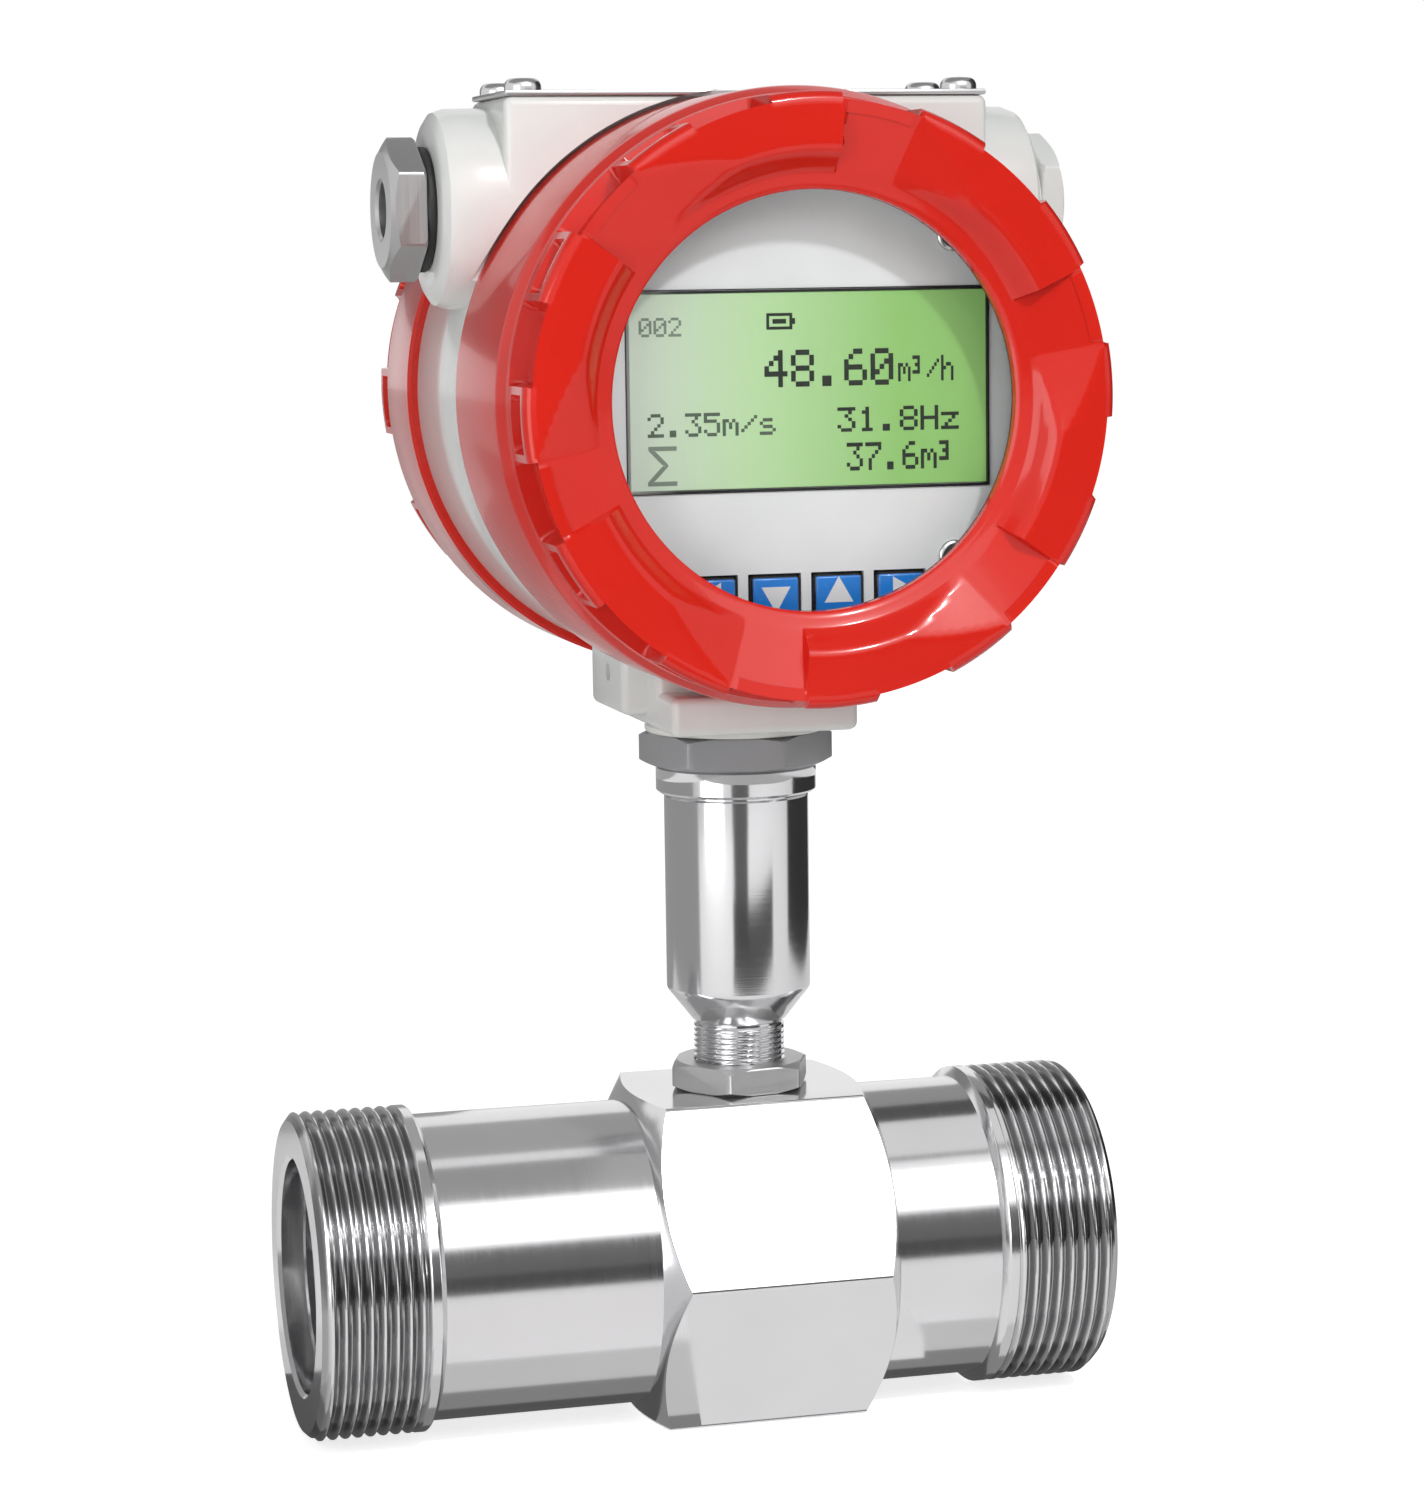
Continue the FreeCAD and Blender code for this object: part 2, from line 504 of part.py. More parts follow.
def cover_relief(name):
    """The room round the front cover's skirt where the block reaches past its rear edge."""
    return tube(name, "-block_front - 1", "-drum_front", "drum_spigot_radius",
                "cover_radius + cover_relief", "y", ("0", "0", HEAD_AXIS))


def plate_corners():
    """The four corners where the top plate is screwed down."""
    middle = "(block_depth / 2 - block_front)"
    deep = "(block_depth / 2 - plate_screw_inset)"
    for x in ("-(block_half - plate_screw_inset)", "(block_half - plate_screw_inset)"):
        for y in (middle + " - " + deep, middle + " + " + deep):
            yield x, y


def plate_screw_rods(name):
    """A shank at each corner of the top plate."""
    top = HEAD_AXIS + " + block_top + plate_thickness"
    return [cylinder("%s_%d" % (name, i), "plate_screw_shank", "plate_screw_length",
                     (x, y, top + " - plate_screw_length"))
            for i, (x, y) in enumerate(plate_corners())]


def top_plate():
    """The bare plate on the top pad and its four pan-head screws."""
    base = HEAD_AXIS + " + block_top"
    sheet = box("plate_sheet",
                ("-block_half + plate_margin", "-block_front + plate_margin", base),
                ("block_half - plate_margin", "block_depth - block_front - plate_margin",
                 base + " + plate_thickness"))
    holes = plate_screw_rods("plate_hole") + [cover_relief("plate_relief")]
    keep("top_plate", cut("plate_cut", sheet, holes))
    screws = []
    shanks = plate_screw_rods("plate_shank")
    for i, (x, y) in enumerate(plate_corners()):
        head = cylinder("plate_head_%d" % i, "plate_screw_head", "plate_screw_head_height",
                        (x, y, base + " + plate_thickness"))
        screws.append(fuse("plate_screw_%d" % i, [head, shanks[i]]))
    keep("top_plate_screws", group("plate_screws", screws))


def entries():
    """The cable gland on the left boss and the blind plug on the right one."""
    height = HEAD_AXIS + " + boss_height"
    at = ("0", "boss_y", height)
    for label, sign in (("gland_gasket", "-"), ("plug_gasket", "")):
        near = sign + BOSS_REACH
        far = "%s(%s + gasket_thickness)" % (sign, BOSS_REACH)
        keep(label, tube(label + "_ring", *sorted_along(near, far, sign), "entry_thread",
                         "gasket_radius", at=at))
    outer = "-(%s + gasket_thickness + gland_hex)" % BOSS_REACH
    inner = "-(%s - entry_thread_length)" % BOSS_REACH
    nut = hexagon("gland_nut", "entry_flats", "gland_hex", (outer, "boss_y", height), TO_X)
    shank = cylinder("gland_shank", "entry_thread", "(%s) - (%s)" % (inner, outer),
                     (outer, "boss_y", height), TO_X)
    rough = fuse("gland_rough", [nut, shank])
    trim = turned("gland_trim", [
        (outer, "0"), (outer, "entry_flats / 2 - entry_chamfer"),
        (outer + " + entry_chamfer", "entry_flats / sqrt(3)"),
        (inner, "entry_flats / sqrt(3)"), (inner, "0")], at=at)
    shaped = common("gland_shaped", rough, trim)
    hollow = turned("gland_hollow", [
        (outer, "0"), (outer, "entry_hole"), (outer + " + gland_lip", "entry_hole"),
        (outer + " + gland_lip", "gland_cavity"), (inner, "gland_cavity"), (inner, "0")], at=at)
    keep("cable_gland", cut("gland_cut", shaped, [hollow]))
    keep("gland_seal", tube("seal", outer + " + gland_lip",
                            outer + " + gland_lip + seal_length",
                            "seal_bore", "gland_cavity", at=at))
    start = BOSS_REACH + " + gasket_thickness"
    cap = hexagon("plug_nut", "entry_flats", "plug_hex", (start, "boss_y", height), TO_X)
    end = start + " + plug_hex"
    inside = BOSS_REACH + " - entry_thread_length"
    stub = cylinder("plug_shank", "entry_thread", "(%s) - (%s)" % (end, inside),
                    (inside, "boss_y", height), TO_X)
    plug_trim = turned("plug_trim", [
        (inside, "0"), (inside, "entry_flats / sqrt(3)"),
        (end + " - entry_chamfer", "entry_flats / sqrt(3)"),
        (end, "entry_flats / 2 - entry_chamfer"), (end, "0")], at=at)
    keep("blind_plug", common("plug_shaped", fuse("plug_rough", [cap, stub]), plug_trim))


def grip_cuts(name, face, sign):
    """The finger recesses around the rim of a cover."""
    cuts = []
    count = int(size("recess_count"))
    for i in range(count):
        block = DOC.addObject("Part::Box", "%s_%d" % (name, i))
        block.setExpression("Length", bound("recess_width"))
        block.setExpression("Width", bound("recess_length + 1"))
        block.setExpression("Height", bound("recess_depth + 2"))
        angle = size("recess_start") + 360.0 * i / count
        turn = FreeCAD.Rotation(FreeCAD.Vector(0, 1, 0), angle)
        start = -face - 1 if sign < 0 else face - size("recess_length")
        floor = size("lug_radius") - size("recess_depth")
        corner = FreeCAD.Vector(-size("recess_width") / 2, start, floor)
        block.Placement = FreeCAD.Placement(turn.multVec(corner), turn)
        cuts.append(block)
    return cuts


def pads(name, low, high):
    """The raised pads around the face of a cover."""
    count = int(size("pad_count"))
    whole = tube(name + "_ring", low, high, "pad_inner", "pad_outer", "y")
    gaps = []
    step = 360.0 / count
    for i in range(count):
        wedge = DOC.addObject("Part::Cylinder", "%s_gap_%d" % (name, i))
        wedge.setExpression("Radius", bound("cover_radius"))
        wedge.setExpression("Height", bound("(%s) - (%s) + 2" % (high, low)))
        wedge.setExpression("Angle", bound("%r - pad_angle" % step))
        turn = FreeCAD.Rotation(FreeCAD.Vector(0, 1, 0), size("pad_start") + step * i)
        wedge.Placement = FreeCAD.Placement(FreeCAD.Vector(), turn.multiply(TO_Y))
        wedge.setExpression("Placement.Base.y", bound("(%s) - 1" % low))
        gaps.append(wedge)
    return cut(name, whole, gaps)


def lifted(label, local):
    """A cover drawn about its own axis, carried to the axis of the head."""
    return keep(label, place(local, ("0", "0", HEAD_AXIS)))


def front_cover():
    """The windowed screw cover, its glass and what holds the glass."""
    face = "-cover_front"
    rear = "-drum_front"
    lip = face + " + rim_step + window_lip"
    glass_back = lip + " + glass_gasket + glass_thickness"
    retainer_back = glass_back + " + retainer_thickness"
    thread_front = rear + " - cover_thread_length"
    shell = turned("front_shell", [
        (face + " + rim_step", "window_radius"),
        (face + " + rim_step", "window_radius + rim_width"),
        (face, "window_radius + rim_width + rim_step"), (face + " - pad_height", "pad_outer"),
        (face + " - pad_height + face_round", "lug_radius"), (face + " + lug_zone", "lug_radius"),
        (face + " + lug_zone + 1", "cover_radius"), (rear, "cover_radius"), (rear, "seal_seat"),
        (rear + " - seal_seat_length", "seal_seat"), (rear + " - seal_seat_length", "cover_thread"),
        (thread_front, "cover_thread"), (thread_front, "cover_chamber"),
        (retainer_back, "cover_chamber"), (retainer_back, "glass_radius"),
        (lip, "glass_radius"), (lip, "window_radius")], "y")
    bare = cut("front_gripped", shell,
               grip_cuts("front_recess", size("cover_front") + size("pad_height"), -1))
    raised = pads("front_pads", face + " - pad_height", face + " + 0.5")
    lifted("front_cover", fuse("front_cover_whole", [bare, raised]))
    centre = ("0", "0", HEAD_AXIS)
    keep("window_gasket", tube("gasket_ring", lip, lip + " + glass_gasket", "window_radius",
                               "glass_radius - fit", "y", centre))
    keep("window_glass", tube("glass_disc", lip + " + glass_gasket", glass_back, "0",
                              "glass_radius - fit", "y", centre))
    keep("glass_retainer", tube("retainer_ring", glass_back, retainer_back, "retainer_bore",
                                "glass_radius - fit", "y", centre))


def rear_cover():
    """The blind screw cover over the terminals."""
    face = "rear_cover_end"
    thread_end = "drum_rear + cover_thread_length"
    floor = face + " - rear_wall"
    shell = turned("rear_shell", [
        ("drum_rear", "seal_seat"), ("drum_rear", "rear_cover_radius"),
        (face + " - lug_zone - 1", "rear_cover_radius"), (face + " - lug_zone", "lug_radius"),
        (face + " + pad_height - face_round", "lug_radius"), (face + " + pad_height", "pad_outer"),
        (face, "window_radius + rim_width + rim_step"), (face, "0"), (floor, "0"),
        (floor, "cover_chamber"), (thread_end, "cover_chamber"), (thread_end, "cover_thread"),
        ("drum_rear + seal_seat_length", "cover_thread"),
        ("drum_rear + seal_seat_length", "seal_seat")], "y")
    bare = cut("rear_gripped", shell,
               grip_cuts("rear_recess", size("rear_cover_end") + size("pad_height"), 1))
    raised = pads("rear_pads", face + " - 0.5", face + " + pad_height")
    lifted("rear_cover", fuse("rear_cover_whole", [bare, raised]))


def o_rings():
    """The round seals in the mouths of the two covers."""
    for label, y in (("front_o_ring", "-drum_front - seal_seat_length / 2"),
                     ("rear_o_ring", "drum_rear + seal_seat_length / 2")):
        ring = DOC.addObject("Part::Torus", label + "_torus")
        ring.setExpression("Radius1", bound("(cover_thread + seal_seat) / 2"))
        ring.setExpression("Radius2", bound("o_ring_radius"))
        keep(label, place(ring, ("0", y, HEAD_AXIS), TO_Y))


def key_places():
    """The middle of each key along the row."""
    return ["key_shift + %r * key_pitch" % (i - 1.5) for i in range(4)]


def post_places():
    """The four corners where the display is screwed to its posts."""
    for x in ("-post_circle / sqrt(2)", "post_circle / sqrt(2)"):
        for z in ("-post_circle / sqrt(2)", "post_circle / sqrt(2)"):
            yield x, "%s + %s" % (HEAD_AXIS, z)


def rods(name, radius, y, length):
    """Four rods along Y at the display's screw places."""
    return [cylinder("%s_%d" % (name, i), radius, length, (x, y, z), TO_Y)
            for i, (x, z) in enumerate(post_places())]


def display():
    """The faceplate, screen, keys, board and the posts that carry them."""
    front = "-faceplate_front"
    back = "-faceplate_front + faceplate_thickness"
    board_front = "-" + BOARD_FRONT
    board_back = "-" + BOARD_BACK
    screen_z = HEAD_AXIS + " + screen_lift"
    disc = cylinder("faceplate_disc", "faceplate_radius", "faceplate_thickness",
                    ("0", front, HEAD_AXIS), TO_Y)
    gap = "display_play"
    screen_left = "screen_shift - screen_half_width"
    screen_right = "screen_shift + screen_half_width"
    screen_foot = screen_z + " - screen_half_height"
    screen_top = screen_z + " + screen_half_height"
    opening = box("screen_opening",
                  (screen_left + " - " + gap, front, screen_foot + " - " + gap),
                  (screen_right + " + " + gap, back, screen_top + " + " + gap))
    key_top = HEAD_AXIS + " - key_drop"
    key_foot = key_top + " - key_height"
    holes = [opening] + rods("faceplate_hole", "post_hole", front, "faceplate_thickness")
    for i, x in enumerate(key_places()):
        holes.append(box("key_hole_%d" % i,
                         (x + " - key_width / 2 - key_play", front, key_foot + " - key_play"),
                         (x + " + key_width / 2 + key_play", back, key_top + " + key_play")))
        keep("key_%d" % (i + 1),
             box("key_cap_%d" % i,
                 (x + " - key_width / 2", front + " - key_proud", key_foot),
                 (x + " + key_width / 2", board_front + " - switch_height - key_gap", key_top)))
    keep("display_faceplate", cut("faceplate_cut", disc, holes))
    screen_front = "-" + SCREEN_FRONT
    keep("screen_module", box("screen_box",
                              (screen_left, screen_front, screen_foot),
                              (screen_right, screen_front + " + screen_depth", screen_top)))
    board = cylinder("board_disc", "board_radius", "board_thickness",
                     ("0", board_front, HEAD_AXIS), TO_Y)
    keep("display_board", cut("board_cut", board,
                              rods("board_hole", "post_hole", board_front, "board_thickness")))
    middle = HEAD_AXIS + " - key_drop - key_height / 2"
    low, high = " - switch_side / 2", " + switch_side / 2"
    keep("key_switches", group("switches", [
        box("switch_%d" % i, (x + low, board_front + " - switch_height", middle + low),
            (x + high, board_front, middle + high))
        for i, x in enumerate(key_places())]))
    spacer_length = "(%s) - (%s)" % (board_front, back)
    spacer_holes = rods("spacer_hole", "post_hole", back, spacer_length)
    spacers = rods("spacer", "post_radius", back, spacer_length)
    keep("display_spacers", group("spacers", [
        cut("spacer_cut_%d" % i, spacer, [spacer_holes[i]])
        for i, spacer in enumerate(spacers)]))
    post_length = "divider_front - (%s)" % board_back
    posts = rods("post", "post_radius", board_back, post_length)
    post_holes = rods("post_hole", "post_hole", board_back, "display_screw_length")
    keep("display_posts", group("posts", [
        cut("post_cut_%d" % i, post, [post_holes[i]]) for i, post in enumerate(posts)]))
    heads = rods("display_head", "display_screw_head", front + " - display_screw_head_height",
                 "display_screw_head_height")
    shanks = rods("display_shank", "post_hole - fit", front, "display_screw_length")
    keep("display_screws", group("screws", [
        fuse("display_screw_%d" % i, [head, shanks[i]]) for i, head in enumerate(heads)]))


def battery():
    """The lithium cell and its cradle behind the board."""
    z = HEAD_AXIS + " - battery_drop"
    board_back = "-" + BOARD_BACK
    half = "battery_length / 2 + fit"
    cradle = box("cradle", ("-(%s) - holder_wall" % half, board_back,
                            z + " - battery_radius - holder_wall"),
                 (half + " + holder_wall", board_back + " + holder_depth",
                  z + " + battery_radius + holder_wall"))
    seat = cylinder("cell_seat", "battery_radius + fit", "2 * (%s)" % half,
                    ("-(%s)" % half, "-battery_y", z), TO_X)
    mouth = box("cell_mouth", ("-(%s)" % half, "-battery_y", z + " - battery_radius - fit"),
                (half, "0", z + " + battery_radius + fit"))
    keep("battery_holder", cut("holder_cut", cradle, [seat, mouth]))
    keep("battery", cylinder("cell", "battery_radius", "battery_length",
                             ("-battery_length / 2", "-battery_y", z), TO_X))


def terminals():
    """The wiring board and its clamp block in the rear chamber."""
    wall = "divider_front + divider_thickness"
    front = wall + " + terminal_gap"
    board = cylinder("terminal_disc", "terminal_board_radius", "board_thickness",
                     ("0", front, HEAD_AXIS), TO_Y)
    keep("terminal_board", board)
    posts = []
    for i, (side, up) in enumerate((("-", "-"), ("-", ""), ("", "-"), ("", ""))):
        posts.append(cylinder("terminal_post_%d" % i, "post_radius", "terminal_gap",
                              ("%sterminal_post_circle / sqrt(2)" % side, wall,
                               "%s + %sterminal_post_circle / sqrt(2)" % (HEAD_AXIS, up)), TO_Y))
    keep("terminal_posts", group("wiring_posts", posts))
    face = front + " + board_thickness"
    block = box("clamp_block",
                ("-terminal_width / 2", face, HEAD_AXIS + " - terminal_height / 2"),
                ("terminal_width / 2", face + " + terminal_depth",
                 HEAD_AXIS + " + terminal_height / 2"))
    count = int(size("terminal_ways"))
    sockets = []
    screws = []
    for i in range(count):
        x = "%r * terminal_width / %d" % (i - (count - 1) / 2, count)
        spot = (x, face + " + terminal_depth - terminal_socket_depth",
                HEAD_AXIS + " + terminal_screw_lift")
        sockets.append(cylinder("clamp_socket_%d" % i, "terminal_screw_radius",
                                "terminal_socket_depth", spot, TO_Y))
        screws.append(cylinder("clamp_screw_%d" % i, "terminal_screw_radius",
                               "terminal_screw_length", spot, TO_Y))
    keep("terminal_block", cut("clamp_cut", block, sockets))
    keep("terminal_screws", group("clamp_screws", screws))


def write_parts():
    """Check every object, then write each named piece to its own file."""
    DOC.recompute()
    for obj in DOC.Objects:
        if "Invalid" in obj.State or "Error" in obj.State:
            raise RuntimeError("failed: %s %s" % (obj.Name, obj.State))
    os.makedirs("parts", exist_ok=True)
    for label, obj in PARTS.items():
        shape = obj.Shape
        if shape.isNull() or not shape.isValid() or not shape.Solids:
            raise RuntimeError("bad shape: " + label)
    for label, obj in PARTS.items():
        obj.Shape.exportStep("parts/%s.step" % label)
        print("%-20s %2d solid %10.1f mm3" % (label, len(obj.Shape.Solids), obj.Shape.Volume))


meter_body()
straightener("inlet_straightener", "-", "inlet_length", "inlet_seat_depth")
straightener("outlet_straightener", "", "outlet_length", "outlet_seat_depth")
bush("inlet_bush", "-")
bush("outlet_bush", "")
snap_ring("inlet_snap_ring", "-", "inlet_length")
snap_ring("outlet_snap_ring", "", "outlet_length")
rotor()
pickup()
neck()
head_housing()
top_plate()
entries()
front_cover()
rear_cover()
o_rings()
display()
battery()
terminals()
write_parts()
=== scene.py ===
import math
import re

import bpy
from bpy.props import FloatProperty, FloatVectorProperty, PointerProperty
from bpy.types import Operator, Panel, PropertyGroup
from mathutils import Matrix, Vector


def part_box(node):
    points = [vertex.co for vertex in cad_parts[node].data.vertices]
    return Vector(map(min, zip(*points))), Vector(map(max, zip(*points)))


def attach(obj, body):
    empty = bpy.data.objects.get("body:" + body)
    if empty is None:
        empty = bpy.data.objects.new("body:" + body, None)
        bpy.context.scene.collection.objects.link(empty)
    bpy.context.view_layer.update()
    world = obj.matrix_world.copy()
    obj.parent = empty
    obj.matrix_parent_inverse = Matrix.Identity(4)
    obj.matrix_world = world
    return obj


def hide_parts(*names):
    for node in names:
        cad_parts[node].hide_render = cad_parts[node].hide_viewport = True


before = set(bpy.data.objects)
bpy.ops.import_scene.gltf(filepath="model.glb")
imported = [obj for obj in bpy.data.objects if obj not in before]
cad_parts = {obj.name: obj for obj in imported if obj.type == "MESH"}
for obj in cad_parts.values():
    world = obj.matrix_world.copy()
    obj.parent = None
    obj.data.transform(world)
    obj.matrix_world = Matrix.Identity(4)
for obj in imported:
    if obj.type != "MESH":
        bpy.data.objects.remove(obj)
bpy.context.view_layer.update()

bl_info = {
    "name": "Digital flow meter",
    "version": (1, 0, 0),
    "blender": (4, 5, 0),
    "location": "View3D > Sidebar > Flow meter",
    "description": "Builds the looks of a turbine flow meter around its solid model",
    "category": "Object",
}

MM = 0.001
TURN = 2 * math.pi


def box_of(node):
    """The lowest and highest corners of a solid, in millimetres."""
    low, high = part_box(node)
    return low / MM, high / MM


# Places read from the solid model, in millimetres
TUBE_LOW, TUBE_HIGH = box_of("meter_body")
PIPE_Z = (TUBE_LOW.z + TUBE_HIGH.z) / 2
GLASS_LOW, GLASS_HIGH = box_of("window_glass")
HEAD_Z = (GLASS_LOW.z + GLASS_HIGH.z) / 2
HEAD_CENTRE = (0, 0, HEAD_Z)
PIPE_CENTRE = (0, 0, PIPE_Z)
GLAND_LOW, GLAND_HIGH = box_of("gland_gasket")
ENTRY_CENTRE = (0, (GLAND_LOW.y + GLAND_HIGH.y) / 2, (GLAND_LOW.z + GLAND_HIGH.z) / 2)
NECK_CENTRE = (0, 0, 0)
THREAD_START = 1.2
SHANK = 9.9
DRUM, SPIGOT, RELIEF = 51.6, 48.4, 54.1


def number(name, text, value, subtype="NONE"):
    """One size of a group."""
    return FloatProperty(name=name, description=text, default=value, subtype=subtype)


def triple(name, text, value, subtype="COLOR"):
    """One colour or place of a group."""
    return FloatVectorProperty(name=name, description=text, size=3, default=value, subtype=subtype)


class CameraSizes(PropertyGroup):
    """Where the camera stands and how it looks."""
    place: triple("Place", "Camera place in metres", (-0.19098, -0.69275, 0.21373), "TRANSLATION")
    heading: number("Heading", "Turn from +Y towards +X", 0.263, "ANGLE")
    pitch: number("Pitch", "Downward tilt", 0.126, "ANGLE")
    roll: number("Roll", "Roll about the view", -0.014, "ANGLE")
    lens: number("Lens", "Focal length in millimetres", 94.25, "DISTANCE_CAMERA")


class TubeSizes(PropertyGroup):
    """Sizes of the flow tube and its pipe threads, in millimetres."""
    thread_radius: number("Thread radius", "Crest radius", 29.807)
    thread_pitch: number("Thread pitch", "Distance between crests", 2.309)
    thread_depth: number("Thread depth", "Crest to root", 1.479)
    thread_turns: number("Thread turns", "Turns on each end", 8.0)
    barrel_radius: number("Barrel radius", "Plain tube", 27.95)
    bore_radius: number("Bore radius", "Flow bore", 20.0)
    seat_radius: number("Seat radius", "Straightener seat", 21.3)


class Finishes(PropertyGroup):
    """Base colours of the finishes."""
    red: triple("Cover red", "Powder coat on the covers", (0.62, 0.014, 0.006))
    white: triple("Housing white", "Powder coat on the housing", (0.725, 0.74, 0.722))
    steel: triple("Steel", "Polished stainless steel", (0.72, 0.72, 0.73))
    screen: triple("Screen green", "Lit screen", (0.27, 0.53, 0.16))
    key: triple("Key blue", "Key caps", (0.02, 0.24, 0.78))


# Working with the mesh tools

def fresh():
    """Leave edit mode with nothing selected."""
    if bpy.context.object and bpy.context.object.mode != "OBJECT":
        bpy.ops.object.mode_set(mode="OBJECT")
    bpy.ops.object.select_all(action="DESELECT")


def pick(piece):
    """Select one piece alone and make it active."""
    fresh()
    piece.select_set(True)
    bpy.context.view_layer.objects.active = piece


def spot(axis, centre, along, radius):
    """A point of a turned outline, in metres."""
    x, y, z = centre
    if axis == "X":
        return Vector((along, y, z + radius)) * MM
    if axis == "Y":
        return Vector((x, along, z + radius)) * MM
    return Vector((x + radius, y, along)) * MM


def outline(name, points, closed=True):
    """One edge after another, extruded from a single point."""
    fresh()
    bpy.ops.mesh.primitive_plane_add(size=MM, location=(0, 0, 0))
    piece = bpy.context.object
    piece.name = name
    bpy.ops.object.mode_set(mode="EDIT")
    bpy.ops.mesh.select_all(action="SELECT")
    bpy.ops.mesh.merge(type="CENTER")
    bpy.ops.transform.translate(value=points[0])
    for before, after in zip(points, points[1:]):
        bpy.ops.mesh.extrude_region_move(TRANSFORM_OT_translate={"value": after - before})
    bpy.ops.object.mode_set(mode="OBJECT")
    if closed:
        count = len(piece.data.vertices)
        for vertex in piece.data.vertices:
            vertex.select = vertex.index in (0, count - 1)
        for edge in piece.data.edges:
            edge.select = False
        bpy.ops.object.mode_set(mode="EDIT")
        bpy.ops.mesh.edge_face_add()
        bpy.ops.object.mode_set(mode="OBJECT")
    return piece


def lathe(name, profile, axis, centre, steps=192, closed=True):
    """Spin an outline of (along, radius) about an axis; a closed one needs five points."""
    points = [spot(axis, centre, along, radius) for along, radius in profile]
    piece = outline(name, points, closed)
    bpy.ops.object.mode_set(mode="EDIT")
    bpy.ops.mesh.select_all(action="SELECT")
    direction = {"X": (1, 0, 0), "Y": (0, 1, 0), "Z": (0, 0, 1)}[axis]
    bpy.ops.mesh.spin(steps=steps, angle=TURN, center=Vector(centre) * MM, axis=direction)
    bpy.ops.mesh.select_all(action="SELECT")
    bpy.ops.mesh.remove_doubles(threshold=0.002 * MM)
    bpy.ops.mesh.normals_make_consistent(inside=False)
    bpy.ops.object.mode_set(mode="OBJECT")
    return piece


def block(name, low, high):
    """A rectangular block between two corners, in millimetres."""
    fresh()
    low, high = Vector(low) * MM, Vector(high) * MM
    bpy.ops.mesh.primitive_cube_add(size=1, location=(low + high) / 2, scale=high - low)
    piece = bpy.context.object
    piece.name = name
    bpy.ops.object.transform_apply(location=True, rotation=True, scale=True)
    return piece


def turn_about(piece, centre, angle, axis):
    """Turn a piece's mesh about a line through a point."""
    spin = Matrix.Rotation(angle, 4, axis)
    piece.data.transform(Matrix.Translation(centre) @ spin @ Matrix.Translation(-centre))


def hexagon(name, flats, start, end, axis, centre, turn=0.0):
    """A hexagonal bar between two distances along an axis."""
    fresh()
    bpy.ops.mesh.primitive_cylinder_add(
        vertices=6, radius=flats / math.sqrt(3) * MM, depth=(end - start) * MM,
        location=spot(axis, centre, (start + end) / 2, 0),
        rotation=(0, 0, turn) if axis == "Z" else (0, math.pi / 2, 0))
    piece = bpy.context.object
    piece.name = name
    bpy.ops.object.transform_apply(location=True, rotation=True, scale=True)
    if axis == "X" and turn:
        turn_about(piece, Vector(centre) * MM, turn, axis)
    return piece


def bevel(piece, width, segments=3, angle=30):
    """Round the sharp edges of a piece."""
    pick(piece)
    tool = piece.modifiers.new("bevel", "BEVEL")
    tool.width = width * MM
    tool.segments = segments
    tool.limit_method = "ANGLE"
    tool.angle_limit = math.radians(angle)
    tool.miter_outer = "MITER_ARC"
    bpy.ops.object.modifier_apply(modifier=tool.name)
    return piece


def combine(piece, other, operation):
    """Join, cut or intersect two pieces, and throw the second away."""
    pick(piece)
    tool = piece.modifiers.new("join", "BOOLEAN")
    tool.operation = operation
    tool.solver = "EXACT"
    tool.object = other
    bpy.ops.object.modifier_apply(modifier=tool.name)
    bpy.data.objects.remove(other)
    return piece


def join(pieces, name):
    """Several loose pieces as one object."""
    fresh()
    for piece in pieces:
        piece.select_set(True)
    bpy.context.view_layer.objects.active = pieces[0]
    bpy.ops.object.join()
    pieces[0].name = name
    fresh()
    return pieces[0]


def paint(piece, finish):
    """Give a piece one finish by its name."""
    piece.data.materials.clear()
    piece.data.materials.append(MATERIALS[finish])


def settle(piece, body, finish, slot, *nodes, angle=32):
    """Give a finished piece its finish, its body and the solids it stands for."""
    pick(piece)
    bpy.ops.object.shade_smooth_by_angle(angle=math.radians(angle))
    fresh()
    paint(piece, finish)
    if nodes:
        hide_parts(*nodes)
    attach(piece, body)
    return piece


def cut_thread(piece, axis, centre, start, end, radius, pitch, depth):
    """Press a helical groove into the fine rows between two distances along an axis."""
    index = "XYZ".index(axis)
    side, up = [(1, 2), (0, 2), (0, 1)][index]
    middle = Vector(centre)
    for vertex in piece.data.vertices:
        place = vertex.co / MM
        along = place[index]
        across = place[side] - middle[side]
        above = place[up] - middle[up]
        reach = math.hypot(across, above)
        if not start < along < end or reach < radius - depth * 1.2:
            continue
        phase = (along - start) / pitch - math.atan2(above, across) / TURN
        wave = abs((phase % 1.0) * 2 - 1)
        groove = min(max((wave - 0.14) / 0.72, 0), 1)
        fade = min((along - start) / (0.6 * pitch), (end - along) / (0.6 * pitch), 1)
        scale = (reach - depth * (1 - groove) * fade) / reach
        place[side] = middle[side] + across * scale
        place[up] = middle[up] + above * scale
        vertex.co = place * MM


def rows(start, end, radius, step):
    """Fine outline points along a cylinder, for a thread."""
    count = max(int(abs(end - start) / step), 2)
    return [(start + (end - start) * i / count, radius) for i in range(count + 1)]


# Materials

def feed(material, inputs, node=None):
    """Give a node's inputs plain values, or the sockets that drive them."""
    node = node or material.node_tree.nodes["Principled BSDF"]
    for name, value in inputs.items():
        if isinstance(value, bpy.types.NodeSocket):
            material.node_tree.links.new(value, node.inputs[name])
        else:
            node.inputs[name].default_value = value
    return node


